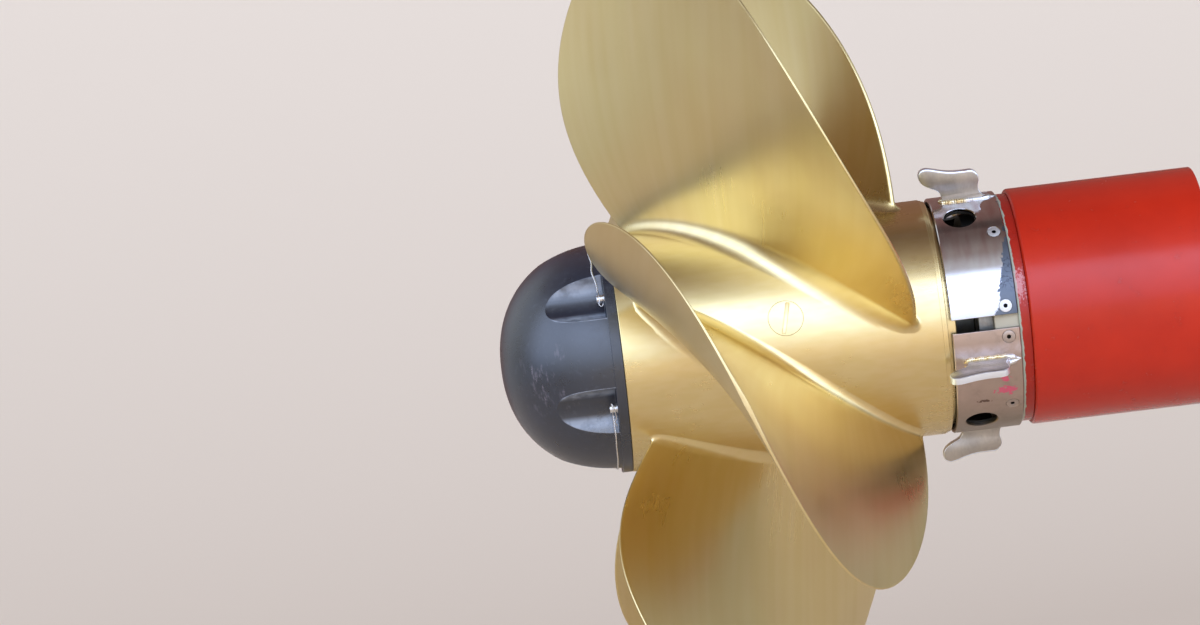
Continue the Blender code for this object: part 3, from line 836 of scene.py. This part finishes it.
def sector_outline(aft, fore):
    """(station, turn) points round one blade's share of the hub, in step with the section's columns."""
    root_pitch = math.atan2(PITCH[0], math.tau * HUB_RADIUS)
    lean = 1.0 / (math.tan(root_pitch) * HUB_RADIUS)
    half = math.pi / BLADE_COUNT
    side_steps = CHORD_POINTS + END_POINTS - RIM_STEPS

    def at(station, offset):
        return station, (station - JOINT - RAKE_LINE[0]) * lean + offset

    aft_line = [at(aft, half - 2 * half * k / RIM_STEPS) for k in range(RIM_STEPS)]
    back_line = [at(aft + (fore - aft) * k / side_steps, -half) for k in range(side_steps)]
    fore_line = [at(fore, -half + 2 * half * k / RIM_STEPS) for k in range(RIM_STEPS)]
    face_line = [at(fore + (aft - fore) * k / side_steps, half) for k in range(side_steps)]
    loop = aft_line + back_line + fore_line + face_line
    # The middle of the aft line belongs to the middle of the trailing edge's arc
    shift = RIM_STEPS // 2 - END_POINTS // 2
    return loop[shift:] + loop[:shift]


def carry_rim(made, station, profile):
    """Carries the open rim at a station on through (station, radius) points, and closes it there."""
    rim = [e for e in made.edges if e.is_boundary and all(abs(v.co.x - station) < 0.00001 for v in e.verts)]
    for x, radius in profile:
        grown = bmesh.ops.extrude_edge_only(made, edges=rim)
        rim = [item for item in grown["geom"] if isinstance(item, bmesh.types.BMEdge)]
        for vert in {vert for edge in rim for vert in edge.verts}:
            turn = math.atan2(vert.co.z, vert.co.y)
            vert.co = in_space(radius, x, turn)
        rim = [edge for edge in rim if edge.is_boundary]
    bmesh.ops.contextual_create(made, geom=rim)


def make_casting():
    """Hub and blades as one casting. Its skin is computed row by row, since the sections are wrapped on
    cylinders and run into the hub over fillets that change along the chord."""
    columns = columns_of_section()
    fillets = [fillet_of(*column) for column in columns]
    aft, fore = JOINT + 0.0010, HUB_FRONT - 0.0046
    footprint = [skin_place(*column, 0.0, fillet)[1:] for column, fillet in zip(columns, fillets)]
    outline = sector_outline(aft, fore)
    rows = []
    for k in range(HUB_ROWS, 0, -1):
        share = k / HUB_ROWS
        rows.append([
            in_space(HUB_RADIUS, x0 + (x1 - x0) * share, t0 + (t1 - t0) * share)
            for (x0, t0), (x1, t1) in zip(footprint, outline)
        ])
    # Up the fillets, and on to the tip in steps that grow smaller
    for k in range(FILLET_ROWS + 1):
        rise = math.pi / 2 * k / FILLET_ROWS
        rows.append([
            in_space(*skin_place(*column, fillet * (1.0 - math.cos(rise)), fillet * (1.0 - math.sin(rise))))
            for column, fillet in zip(columns, fillets)
        ])
    span = TIP_RADIUS - HUB_RADIUS
    for k in range(1, BLADE_ROWS + 1):
        left = max((1.0 - k / BLADE_ROWS) ** 2, TIP_LEFT)
        rows.append([
            in_space(*skin_place(*column, span - (span - fillet) * left, 0.0))
            for column, fillet in zip(columns, fillets)
        ])
    made = bmesh.new()
    for i in range(BLADE_COUNT):
        turn = Matrix.Rotation(math.radians(BLADE_ANGLE + i * BLADE_STEP), 3, "X")
        loops = [[made.verts.new(turn @ point) for point in row] for row in rows]
        bridged(made, loops)
        made.faces.new(loops[-1][::-1])
    bmesh.ops.remove_doubles(made, verts=made.verts, dist=0.00001)
    carry_rim(made, fore, [(HUB_FRONT + x, radius) for x, radius in HUB_FRONT_EDGE] + [
        (HUB_FRONT + SPIGOT_LENGTH - 0.0015, SPIGOT_RADIUS),
        (HUB_FRONT + SPIGOT_LENGTH, SPIGOT_RADIUS - 0.0015),
        (HUB_FRONT + SPIGOT_LENGTH, SHAFT_RADIUS),
    ])
    carry_rim(made, aft, ((JOINT + 0.0003, HUB_RADIUS - 0.0003), (JOINT, HUB_RADIUS - 0.0010), (JOINT, SHAFT_RADIUS)))
    bmesh.ops.recalc_face_normals(made, faces=made.faces)
    casting = object_from("propeller_casting", made)
    for angle in PLUG_ANGLES:
        socket = PLUG_RADIUS + PLUG_GAP
        depths = (HUB_RADIUS - PLUG_DEPTH - PLUG_GAP, HUB_RADIUS + 0.02)
        carve(casting, radial_tool(socket, socket, *depths, JOINT + PLUG_STATION, angle))
    smoothed(casting, 40.0)
    true_normals(casting, [cylinder_rule(HUB_RADIUS)])
    nodes = ["propeller_hub"] + [f"blade_{i + 1}" for i in range(BLADE_COUNT)]
    ready(casting, "propeller", BRONZE, "bronze", *nodes)


def make_plugs():
    """Round flush plugs with a screwdriver slot, domed as the hub is."""
    middle = HUB_RADIUS - PLUG_DEPTH / 2
    plug = cylinder(PLUG_RADIUS, PLUG_DEPTH, (0.0, 0.0, middle), sides=72)
    edit(plug, False)
    made = bmesh.from_edit_mesh(plug.data)
    for face in made.faces:
        face.select_set(face.normal.z > 0.9)
    bmesh.update_edit_mesh(plug.data)
    for thickness in (0.0004, 0.004, 0.005, 0.006, 0.006):
        bpy.ops.mesh.inset(thickness=thickness)
    leave_edit()
    for vert in plug.data.vertices:
        if vert.co.z > middle:
            reach = math.hypot(vert.co.x, vert.co.y)
            drop = 0.0004 if reach > PLUG_RADIUS - 0.0002 else 0.0
            vert.co.z = math.sqrt(HUB_RADIUS**2 - vert.co.y**2) - drop
    bpy.ops.mesh.primitive_cube_add(size=1.0, location=(0.0, 0.0, HUB_RADIUS))
    tool = bpy.context.object
    tool.scale = PLUG_SLOT
    tool.rotation_euler = (0.0, 0.0, math.radians(PLUG_SLOT_TURN))
    carve(plug, bevelled(settle(tool), 0.0012, 2))
    smoothed(plug, 30.0)
    true_normals(plug, [cylinder_rule(HUB_RADIUS)])
    plug.data.transform(Matrix.Translation((JOINT + PLUG_STATION, 0.0, 0.0)))
    for i, angle in enumerate(PLUG_ANGLES):
        twin = turned_by(copy_of(plug, f"flush_plug_{i + 1}"), angle - 90.0)
        ready(twin, "propeller", PLUG_BRONZE, "bronze", f"hub_plug_{i + 1}")
    bpy.data.objects.remove(plug)


# -------- hub cap


def cap_radius_at(behind):
    """The dome's radius at a distance behind the joint."""
    share = min(max(behind / CAP_LENGTH, 0.0), 1.0)
    return CAP_RADIUS * (1.0 - share**CAP_FULLNESS) ** (1.0 / CAP_FULLNESS)


def dome_rule(point, normal):
    """The dome's own normal."""
    behind = JOINT - point.x
    away = Vector((0.0, point.y, point.z))
    if behind < CAP_RIM_WIDTH or abs(away.length - cap_radius_at(behind)) > 0.0003:
        return None
    steep = (behind / CAP_LENGTH) ** (CAP_FULLNESS - 1.0) / CAP_LENGTH
    flat = (away.length / CAP_RADIUS) ** (CAP_FULLNESS - 1.0) / CAP_RADIUS
    found = away.normalized() * flat + Vector((-steep, 0.0, 0.0))
    found.normalize()
    return found if found.dot(normal) > 0.96 else None


def pocket_rule(angle):
    """The normal of a pocket's milled floor."""
    turn = math.radians(angle)
    reach = POCKET_FLOOR_RADIUS + POCKET_TOOL_RADIUS
    axis = Vector((0.0, reach * math.cos(turn), reach * math.sin(turn)))

    def rule(point, normal):
        inwards = axis - Vector((0.0, point.y, point.z))
        if abs(inwards.length - POCKET_TOOL_RADIUS) > 0.0002:
            return None
        inwards.normalize()
        return inwards if inwards.dot(normal) > 0.96 else None

    return rule


def make_cap():
    """The dome with its flat rim and the pockets milled along it."""
    rim = JOINT - CAP_RIM_WIDTH
    tip = JOINT - CAP_LENGTH
    edge = (CAP_EDGE, CAP_EDGE)
    profile = band(JOINT - SEAT, rim, 0.02, CAP_RIM_RADIUS, edge, edge)
    profile[-1] = (rim, cap_radius_at(CAP_RIM_WIDTH))
    first = math.asin(CAP_RIM_WIDTH / CAP_LENGTH)
    for i in range(1, CAP_STEPS):
        behind = CAP_LENGTH * math.sin(first + (math.pi / 2 - first) * i / CAP_STEPS)
        profile.append((JOINT - behind, cap_radius_at(behind)))
    profile += [(tip + 0.00001, 0.004), (tip + 0.00001, 0.0), (JOINT - SEAT, 0.0)]
    cap = spun("hub_cap_dome", profile)
    rules = [dome_rule]
    for i in range(POCKET_COUNT):
        angle = POCKET_ANGLE + i * POCKET_STEP
        place = (rim - CAP_LENGTH / 2, 0.0, POCKET_FLOOR_RADIUS + POCKET_TOOL_RADIUS)
        tool = bevelled(cylinder(POCKET_TOOL_RADIUS, CAP_LENGTH, place, ALONG_X, 128), POCKET_CORNER, 3, 60.0)
        carve(cap, turned_by(tool, angle - 90.0))
        rules.append(pocket_rule(angle))
    smoothed(cap, 30.0)
    true_normals(cap, rules)
    ready(cap, "propeller", CAP_PLASTIC, "cap_plastic", "hub_cap")


def make_cap_bolts():
    """Cap screws whose heads stand in the pockets, each on a washer, with a socket and a cross hole."""
    wall = JOINT - CAP_RIM_WIDTH
    end = wall - BOLT_HEAD_LENGTH
    length = BOLT_HEAD_LENGTH - WASHER_THICKNESS
    head = cylinder(BOLT_HEAD_RADIUS, length, (wall - WASHER_THICKNESS - length / 2, 0.0, BOLT_CIRCLE), ALONG_X)
    bevelled(head, 0.0007, 3, 60.0)
    carve(head, cylinder(BOLT_SOCKET_RADIUS, 2 * BOLT_SOCKET_DEPTH, (end, 0.0, BOLT_CIRCLE), ALONG_X, 6))
    place = (end + BOLT_HOLE_DEPTH, 0.0, BOLT_CIRCLE)
    carve(head, cylinder(BOLT_HOLE_RADIUS, 0.03, place, (math.pi / 2, 0.0, 0.0), 20))
    place = (wall - WASHER_THICKNESS / 2, 0.0, BOLT_CIRCLE)
    washer = bevelled(cylinder(WASHER_RADIUS, WASHER_THICKNESS, place, ALONG_X), 0.0003, 2)
    smoothed(joined([head, washer]), 35.0)
    for i in range(POCKET_COUNT):
        twin = turned_by(copy_of(head, f"cap_bolt_{i + 1}"), POCKET_ANGLE + i * POCKET_STEP - 90.0)
        ready(twin, "propeller", BRIGHT_STEEL, "lockwire")
    bpy.data.objects.remove(head)


def frames_along(path):
    """The points of a path, each with two directions across it that turn as little as they can."""
    side = None
    for i, point in enumerate(path):
        ahead = (path[min(i + 1, len(path) - 1)] - path[max(i - 1, 0)]).normalized()
        side = ahead.orthogonal().normalized() if side is None else (side - ahead * side.dot(ahead)).normalized()
        yield point, side, ahead.cross(side)


def tube(name, path, radius, sides=8):
    """A closed tube along a path of points."""
    turns = [math.tau * k / sides for k in range(sides)]
    return closed_skin(name, [
        [point + (side * math.cos(turn) + up * math.sin(turn)) * radius for turn in turns]
        for point, side, up in frames_along(path)
    ])


def twisted(path, pitch, apart):
    """The two paths that twist about one path."""
    pair = [], []
    run = 0.0
    for i, (point, side, up) in enumerate(frames_along(path)):
        run += (point - path[i - 1]).length if i else 0.0
        turn = math.tau * run / pitch
        offset = (side * math.cos(turn) + up * math.sin(turn)) * apart
        pair[0].append(point + offset)
        pair[1].append(point - offset)
    return pair


def smooth_path(points, spacing=0.0007):
    """A smooth path through a few points, with even steps."""
    dense = []
    extended = [points[0] * 2 - points[1]] + points + [points[-1] * 2 - points[-2]]
    for p0, p1, p2, p3 in zip(extended, extended[1:], extended[2:], extended[3:]):
        steps = max(2, round((p2 - p1).length / spacing))
        slope, bend, twist = p2 - p0, p0 * 2 - p1 * 5 + p2 * 4 - p3, p1 * 3 - p0 - p2 * 3 + p3
        for k in range(steps):
            t = k / steps
            dense.append((p1 * 2 + slope * t + bend * t**2 + twist * t**3) / 2)
    dense.append(points[-1])
    return dense


def make_lockwires():
    """Each lockwire loops through one bolt head, runs twisted over the land between two pockets, and ends
    in a curled pigtail at the next head."""
    station = JOINT - CAP_RIM_WIDTH - BOLT_HEAD_LENGTH + BOLT_HOLE_DEPTH
    reach = BOLT_HEAD_RADIUS + STRAND_RADIUS * 1.3
    low = BOLT_CIRCLE + 0.0035
    for i, (drift, waves) in enumerate(WIRE_SLACK):
        start = POCKET_ANGLE - POCKET_STEP + 2 * i * POCKET_STEP
        middle = []
        for share in WIRE_SHARES:
            bow = drift * math.sin(math.pi * share) ** 0.7
            x = station - bow + waves * math.sin(23.0 * share + 2.1 * i)
            skin = cap_radius_at(JOINT - x) + WIRE_HEIGHT
            away = min(share, 1.0 - share) * POCKET_STEP
            rise = min(max((away - WIRE_RISE[0]) / (WIRE_RISE[1] - WIRE_RISE[0]), 0.0), 1.0)
            middle.append(in_space(low + (skin - low) * rise, x, math.radians(start + share * POCKET_STEP)))
        pair = twisted(smooth_path(middle), TWIST_PITCH, STRAND_RADIUS * 1.02)
        ends = []
        for at_end, sign in ((False, 1.0), (True, -1.0)):
            turn = math.radians(start + (POCKET_STEP if at_end else 0.0))
            centre = in_space(BOLT_CIRCLE, station, turn)
            near = Vector((0.0, -math.sin(turn), math.cos(turn))) * sign * reach
            outer = Vector((0.0, math.cos(turn), math.sin(turn)))
            # One strand goes round the head's outer side, the other through the cross hole; they meet beyond it
            around, through, tail, back = [
                [centre + near * along + outer * up + Vector((x, 0.0, 0.0)) for along, up, x in points]
                for points in (
                    ((0.75, reach * 0.75, 0.0), (0.0, reach, 0.0), (-0.75, reach * 0.72, 0.0)),
                    ((1.05, 0.0, 0.0), (0.3, 0.0, 0.0), (-1.05, 0.0, 0.0)),
                    WIRE_TAIL,
                    WIRE_BACK,
                )
            ]
            ends.append((around + tail[:2], through + tail) if at_end else (around + tail[:1], through + back))
        pieces = []
        for k, strand in enumerate(pair):
            head_end = smooth_path([strand[0]] + ends[0][k])[::-1]
            far_end = smooth_path([strand[-1]] + ends[1][k])
            pieces.append(tube("strand", head_end[:-1] + strand[1:-1] + far_end, STRAND_RADIUS))
        wire = smoothed(joined(pieces), 60.0)
        wire.name = f"twisted_lockwire_{i + 1}"
        ready(wire, "propeller", BRIGHT_STEEL, "lockwire", f"lockwire_{i + 1}")


# -------- rope guard


def make_guard_half(name, middle, material, slot):
    """A half ring of plate with two rounded-over holes and five countersinks."""
    inner = GUARD_RADIUS - GUARD_WALL
    edge = (GUARD_EDGE, GUARD_EDGE)
    profile = band(GUARD_FRONT, GUARD_AFT, inner, GUARD_RADIUS, edge, edge)
    sweep = 180.0 - 2 * math.degrees(math.asin(GUARD_SLOT / 2 / GUARD_RADIUS))
    half = bevelled(spun(f"guard_{name}_plate", profile, middle - sweep / 2, sweep, 120), 0.0006, 2, 60.0)
    for angle in (middle - HOLE_ANGLE, middle + HOLE_ANGLE):
        for low, high, bottom, top in (
            (HOLE_RADIUS, HOLE_RADIUS, inner - 0.02, GUARD_RADIUS + 0.02),
            (HOLE_RADIUS - 0.003, HOLE_RADIUS + 0.0058, GUARD_RADIUS - 0.0048, GUARD_RADIUS + 0.0040),
        ):
            carve(half, radial_tool(low, high, bottom, top, GUARD_AFT + HOLE_STATION, angle))
    for offset in SCREW_ANGLES:
        depths = (GUARD_RADIUS - 0.0068, GUARD_RADIUS + 0.0002)
        place = (GUARD_AFT + SCREW_STATION, middle + offset)
        carve(half, radial_tool(0.0040, SCREW_RADIUS + SINK_GAP, *depths, *place, sides=48))
    smoothed(half, 25.0)
    true_normals(half, [cylinder_rule(GUARD_RADIUS), cylinder_rule(inner, -1.0)])
    ready(half, "bracket", material, slot, f"rope_guard_{name}")


def make_guard_screws():
    """Countersunk screws with a hexagon socket."""
    top = GUARD_RADIUS - SCREW_SETBACK
    screw = cone(SCREW_LOW_RADIUS, SCREW_RADIUS, SCREW_HEIGHT, top - SCREW_HEIGHT / 2)
    bevelled(screw, 0.0004, 2, 40.0)
    carve(screw, cone(SOCKET_LOW_RADIUS, SOCKET_RADIUS, 2 * SOCKET_DEPTH, top, sides=6))
    carve(screw, cone(SOCKET_RADIUS, SOCKET_EDGE_RADIUS, 0.0010, top + 0.0002))
    smoothed(screw, 35.0)
    # The socket and the cone below the head's face take the material's second tone, which is painted shade
    mark = screw.data.attributes.new("rim", "FLOAT", "POINT")
    for vert in screw.data.vertices:
        reach = math.hypot(vert.co.x, vert.co.y)
        below = vert.co.z < top - 0.00025
        mark.data[vert.index].value = 1.0 if below and not 0.0036 <= reach <= SOCKET_EDGE_RADIUS else 0.0
    count = 0
    for half, middle in GUARD_HALVES:
        for k, offset in enumerate(SCREW_ANGLES):
            count += 1
            twin = copy_of(screw, f"guard_screw_{count}")
            twin.data.transform(Matrix.Rotation(math.radians(17.0 * k), 4, "Z"))
            twin.data.transform(Matrix.Translation((GUARD_AFT + SCREW_STATION, 0.0, 0.0)))
            turned_by(twin, middle + offset - 90.0)
            ready(twin, "bracket", SCREW_STEEL if half == "upper" else SCREW_DULL, "guard_brushed")
    bpy.data.objects.remove(screw)


def knife_plate():
    """A hooked plate on edge, ground round at the rim, which takes the material's second tone."""
    outline = smooth_path([Vector((GUARD_AFT + x / 1000, 0.0, y / 1000)) for x, y in KNIFE_OUTLINE], 0.0016)
    inward = []
    for k, point in enumerate(outline):
        ahead = (outline[min(k + 2, len(outline) - 1)] - outline[max(k - 2, 0)]).normalized()
        above = abs(ahead.x) if point.z > 0.040 else 0.0
        depth = (0.0012 + 0.0030 * above) * min(max(point.z / 0.012, 0.05), 1.0)
        inward.append(point + Vector((ahead.z, 0.0, -ahead.x)) * depth)
    half = KNIFE_THICKNESS / 2
    rings = []
    for path, y in ((inward, -half), (outline, KNIFE_CHAMFER - half), (outline, half - KNIFE_CHAMFER), (inward, half)):
        rings.append([point + Vector((0.0, y, GUARD_RADIUS + SEAT)) for point in path])
    knife = closed_skin("knife", rings)
    mark = knife.data.attributes.new("rim", "FLOAT", "POINT")
    for vert in knife.data.vertices:
        mark.data[vert.index].value = 1.0 if abs(vert.co.y) < half - KNIFE_CHAMFER / 2 else 0.0
    return smoothed(bevelled(knife, KNIFE_CHAMFER, 3, 55.0), 40.0)


def weld_bead(side):
    """A rippled bead along one side of a knife's base. It wraps the aft end and runs out in a flat tip."""
    turns = [math.tau * k / 12 for k in range(12)]
    rings = []
    for k in range(WELD_STEPS + 1):
        share = k / WELD_STEPS
        x = WELD_START + (WELD_END - WELD_START) * share
        wrap = min(max((x - WELD_START) / WELD_WRAP, 0.0), 1.0)
        tip = min(max((x - WELD_TIP_START) / (WELD_END - WELD_TIP_START), 0.0), 1.0)
        wide = math.sqrt(1.0 - (1.0 - wrap) ** 2) * (1.0 - tip)
        y = side * (KNIFE_THICKNESS / 2 + 0.0004 + 0.0005 * math.sin(x * 500.0 + side)) * wide
        ripple = abs(math.sin(math.pi * x / WELD_RIPPLE)) * (1.0 if x < WELD_GROUND else 0.45)
        lens = 1.0 + 0.45 * math.sin(math.pi * min(tip * 1.4, 1.0))
        ends = min(1.0, share * 22.0, (1.0 - tip) * 2.2) ** 0.6
        size = (WELD_SIZE + 0.0007 * ripple * (1.0 - tip)) * max(ends * lens, 0.12)
        centre = Vector((GUARD_AFT + x, y, GUARD_RADIUS + 0.0002))
        rings.append([centre + Vector((0.0, math.cos(turn) * size, math.sin(turn) * size)) for turn in turns])
    return closed_skin("bead", rings)


def make_knives():
    """Four knives, each with a weld bead along both sides of its base."""
    knife = knife_plate()
    weld = smoothed(joined([weld_bead(-1.0), weld_bead(1.0)]), 50.0)
    for half, middle in GUARD_HALVES:
        for k, offset in enumerate(KNIFE_ANGLES):
            turn = middle + offset - 90.0
            twin = turned_by(copy_of(knife, f"knife_plate_{half}_{k + 1}"), turn)
            ready(twin, "bracket", KNIFE_STEEL, "knife_steel", f"rope_knife_{half}_{k + 1}")
            twin = turned_by(copy_of(weld, f"knife_weld_{half}_{k + 1}"), turn)
            ready(twin, "bracket", WELD, "knife_steel")
    bpy.data.objects.remove(knife)
    bpy.data.objects.remove(weld)


# -------- ring, bearing, shaft and barrel


def make_bracket_end():
    """The recessed painted ring, the bare land that the guard is screwed to, the bearing's flange and bush,
    the painted barrel with its closed forward end, and the shaft in it."""
    bore = BORE_RADIUS + SEAT
    bore_end = BARREL_AFT + BORE_DEPTH
    land_aft = GUARD_FRONT - LAND_LENGTH
    housing_aft = land_aft - FLANGE_LENGTH
    bush_fore = bore_end - 0.010
    bush_inner = SHAFT_RADIUS + 0.0005
    ring_profile = band(
        BARREL_AFT - SEAT, GUARD_FRONT + SEAT, bore, RING_RADIUS, (0.0007, 0.0006), (0.0009, 0.0012)
    )
    edge = (0.0010, 0.0010)
    land_profile = band(GUARD_FRONT + SEAT, land_aft, FLANGE_RADIUS - 0.004, LAND_RADIUS, aft_cut=edge)
    flange_profile = band(land_aft + 0.0002, housing_aft, bore, FLANGE_RADIUS, aft_cut=edge)
    shaft_profile = band(bore_end - 0.005, HUB_FRONT + SPIGOT_LENGTH + SEAT, 0.0, SHAFT_RADIUS, (0.002, 0.002))
    bush_profile = [
        (bush_fore, bush_inner),
        (bush_fore, BORE_RADIUS),
        (housing_aft + 0.0008, BORE_RADIUS),
        (housing_aft, BORE_RADIUS - 0.0008),
        (housing_aft, bush_inner + 0.0015),
        (housing_aft + 0.0015, bush_inner),
    ]
    barrel_profile = [(FRONT, 0.0), (FRONT, BARREL_RADIUS - 0.0010), (FRONT - 0.0010, BARREL_RADIUS)]
    for turn in (math.radians(15.0 * k) for k in range(7)):
        along, inwards = BARREL_EDGE * (1.0 - math.sin(turn)), BARREL_EDGE * (1.0 - math.cos(turn))
        barrel_profile.append((BARREL_AFT + along, BARREL_RADIUS - inwards))
    barrel_profile += [(BARREL_AFT, bore), (bore_end, bore), (bore_end, 0.0)]
    turned_piece("end_ring_band", ring_profile, "bracket", RING_RED, "ring_paint", "barrel_end_ring")
    turned_piece("guard_land", land_profile, "bracket", LAND_PRIMER, "ring_paint")
    turned_piece("bearing_flange", flange_profile, "bracket", BARE_STEEL, "shaft_steel")
    turned_piece("bearing_bush", bush_profile, "bracket", RUBBER, "bearing_rubber", "bearing_sleeve")
    turned_piece("bracket_barrel_tube", barrel_profile, "bracket", BARREL_RED, "barrel_paint", "bracket_barrel")
    turned_piece("shaft_length", shaft_profile, "propeller", BARE_STEEL, "shaft_steel", "propeller_shaft")


# -------- floor, light and camera


def make_sky():
    """A wide soft light on the viewer's side with a bright window in it, dimmer at the other sides, and a dark
    ceiling."""
    world = bpy.data.worlds.new("studio")
    bpy.context.scene.world = world
    world.use_nodes = True
    background = world.node_tree.nodes["Background"]
    n = Nodes(world.node_tree)
    x, y, z = n.split(n.get("ShaderNodeTexCoord", "Generated"))
    level = n.vector("NORMALIZE", n.join(x, y, 0.0))
    front = n.vector("DOT_PRODUCT", level, (math.sin(SKY_TURN), -math.cos(SKY_TURN), 0.0))
    front = n.step(front, math.cos(SKY_HALF + SKY_SOFT), math.cos(SKY_HALF - SKY_SOFT), curve="SMOOTHSTEP")
    forward = n.step(n.split(level)[0], -0.1, 0.9, 1.0, SKY_FORWARD)
    dim = n.mix(1.0, n.ramp(z, *SKY_SIDES, curve="EASE"), n.join(forward, forward, forward), "MULTIPLY")
    around = n.mix(front, dim, n.ramp(z, *SKY_FRONT, curve="EASE"))
    turn = n.math("ARCTAN2", x, y * -1.0)
    around = n.mix(n.step(abs(turn), 2.40, 2.85), around, CEILING_BEHIND)
    # The window brightens upwards, and rises towards the left
    height = z - n.step(turn, *WINDOW_LEAN)
    window = n.step(height, *WINDOW_FADE)
    soft = math.radians(WINDOW_EDGE)
    for value, (low, high), edge in (
        (turn, [math.radians(side) for side in WINDOW_SIDES], soft),
        (height, [math.sin(math.radians(rise)) for rise in WINDOW_HEIGHTS], math.sin(soft / 2)),
    ):
        window = window * n.step(value, low - edge, low + edge) * n.step(value, high - edge, high + edge, 1.0, 0.0)
    # A dimmer and taller window on its left
    left = n.step(turn, -1.75, -1.35) * n.step(turn, -0.95, -0.75, 1.0, 0.0)
    window = window + left * n.step(z, -0.1, 0.1) * n.step(z, 0.60, 0.85, 0.62, 0.0)
    n.put(background.inputs["Color"], n.vector("ADD", around, n.scaled(WINDOW, n.join(window, window, window))))
    background.inputs["Strength"].default_value = SKY_STRENGTH


def make_floor_light():
    """Brightens the floor in front of the object, and isn't mirrored in it."""
    light = bpy.data.lights.new("floor_light", "AREA")
    light.shape = "RECTANGLE"
    light.size, light.size_y = LAMP_SIZE
    light.spread = math.radians(90.0)
    light.energy = LAMP_POWER
    lamp = bpy.data.objects.new("floor_light", light)
    bpy.context.scene.collection.objects.link(lamp)
    lamp.location = LAMP_PLACE
    lamp.visible_camera = False
    lamp.visible_glossy = False


def make_floor():
    """A plain pale floor, and the same floor's far rim, which rises behind the object for the camera alone.
    The rim is clear from outside, so that its near side hides nothing from a low camera beyond it."""
    pale, rim_pale = [finish(name, FLOOR_COLOUR, 0.0, 0.9) for name in ("pale_floor", "pale_rim")]
    n = Nodes(rim_pale.node_tree)
    outside = n.get("ShaderNodeNewGeometry", "Backfacing")
    shaders = {1: Value(n, n.shader.outputs[0]), 2: n.get("ShaderNodeBsdfTransparent")}
    n.put(n.tree.nodes["Material Output"].inputs["Surface"], n.get("ShaderNodeMixShader", 0, {0: outside, **shaders}))
    bpy.ops.mesh.primitive_circle_add(
        vertices=RIM_SIDES, radius=FLOOR_RADIUS, fill_type="NGON", location=(0.0, 0.0, FLOOR)
    )
    floor = settle(bpy.context.object)
    floor.name = "floor"
    made = bmesh.new()
    loops = []
    for share in (k / RIM_ROWS for k in range(RIM_ROWS + 1)):
        radius, height = FLOOR_RADIUS + RIM_RUN * share, FLOOR + RIM_RISE * share**2
        # Clockwise, so that the faces look up and inwards
        turns = [-math.tau * k / RIM_SIDES for k in range(RIM_SIDES)]
        loops.append([made.verts.new((radius * math.cos(turn), radius * math.sin(turn), height)) for turn in turns])
    bridged(made, loops)
    rim = smoothed(object_from("backdrop", made), 60.0)
    for flag in ("visible_diffuse", "visible_glossy", "visible_transmission", "visible_shadow"):
        setattr(rim, flag, False)
    for obj, material in ((floor, pale), (rim, rim_pale)):
        obj.data.materials.append(material)


def make_camera():
    """The camera at the photograph's viewing point."""
    level = math.cos(CAMERA_PITCH)
    ahead = Vector((math.sin(CAMERA_YAW) * level, math.cos(CAMERA_YAW) * level, math.sin(CAMERA_PITCH)))
    right = Vector((math.cos(CAMERA_YAW), -math.sin(CAMERA_YAW), 0.0))
    down = ahead.cross(right)
    rolled_right = right * math.cos(CAMERA_ROLL) + down * math.sin(CAMERA_ROLL)
    rolled_down = down * math.cos(CAMERA_ROLL) - right * math.sin(CAMERA_ROLL)
    data = bpy.data.cameras.new("camera")
    data.sensor_width = 36.0
    data.lens = CAMERA_LENS
    camera = bpy.data.objects.new("camera", data)
    bpy.context.scene.collection.objects.link(camera)
    turn = Matrix((rolled_right, -rolled_down, -ahead)).transposed()
    camera.matrix_world = Matrix.Translation(CAMERA_PLACE) @ turn.to_4x4()
    bpy.context.scene.camera = camera


BRONZE = bronze_finish("polished_bronze")
PLUG_BRONZE = bronze_finish("plug_bronze")
CAP_PLASTIC = cap_finish()
BRIGHT_STEEL = steel_finish("bright_steel", (0.80, 0.79, 0.78), 0.20, 0.32, 500.0)
GUARD_POLISHED = guard_finish("guard_polished", True)
GUARD_BRUSHED = guard_finish("guard_brushed", False)
# The screws' second tone is painted shade in the socket and under the head
SCREW_STEEL = steel_finish("screw_steel", (0.80, 0.79, 0.78), 0.50, 0.60, 400.0, rim=(0.02, 0.02, 0.02))
SCREW_DULL = steel_finish("screw_dull", (0.54, 0.45, 0.40), 0.34, 0.46, 400.0, rim=(0.03, 0.025, 0.02))
KNIFE_STEEL = steel_finish(
    "knife_steel", (0.50, 0.46, 0.41), 0.36, 0.48, 260.0, (1.0, 1.0, 0.25), rim=(0.88, 0.93, 1.0)
)
BARE_STEEL = steel_finish("bare_steel", (0.38, 0.37, 0.34), 0.35, 0.50, 300.0, (1.0, 0.2, 0.2), (0.20, 0.12, 0.07))
WELD = weld_finish()
RUBBER = rubber_finish()
BARREL_RED = paint_finish("barrel_paint", (0.50, 0.022, 0.007), (0.40, 0.016, 0.006), 0.20, (0.16, 0.03, 0.02))
RING_RED = paint_finish("ring_paint", (0.40, 0.018, 0.008), (0.26, 0.011, 0.007), 0.22, (0.60, 0.24, 0.18))
LAND_PRIMER = paint_finish("land_primer", (0.50, 0.45, 0.33), (0.40, 0.35, 0.25), 0.55, (0.25, 0.16, 0.08))

make_casting()
make_plugs()
make_cap()
make_cap_bolts()
make_lockwires()
make_guard_half(*GUARD_HALVES[0], GUARD_POLISHED, "guard_polished")
make_guard_half(*GUARD_HALVES[1], GUARD_BRUSHED, "guard_brushed")
make_guard_screws()
make_knives()
make_bracket_end()
make_sky()
make_floor()
make_floor_light()
make_camera()
bpy.context.scene.view_settings.view_transform = "Standard"
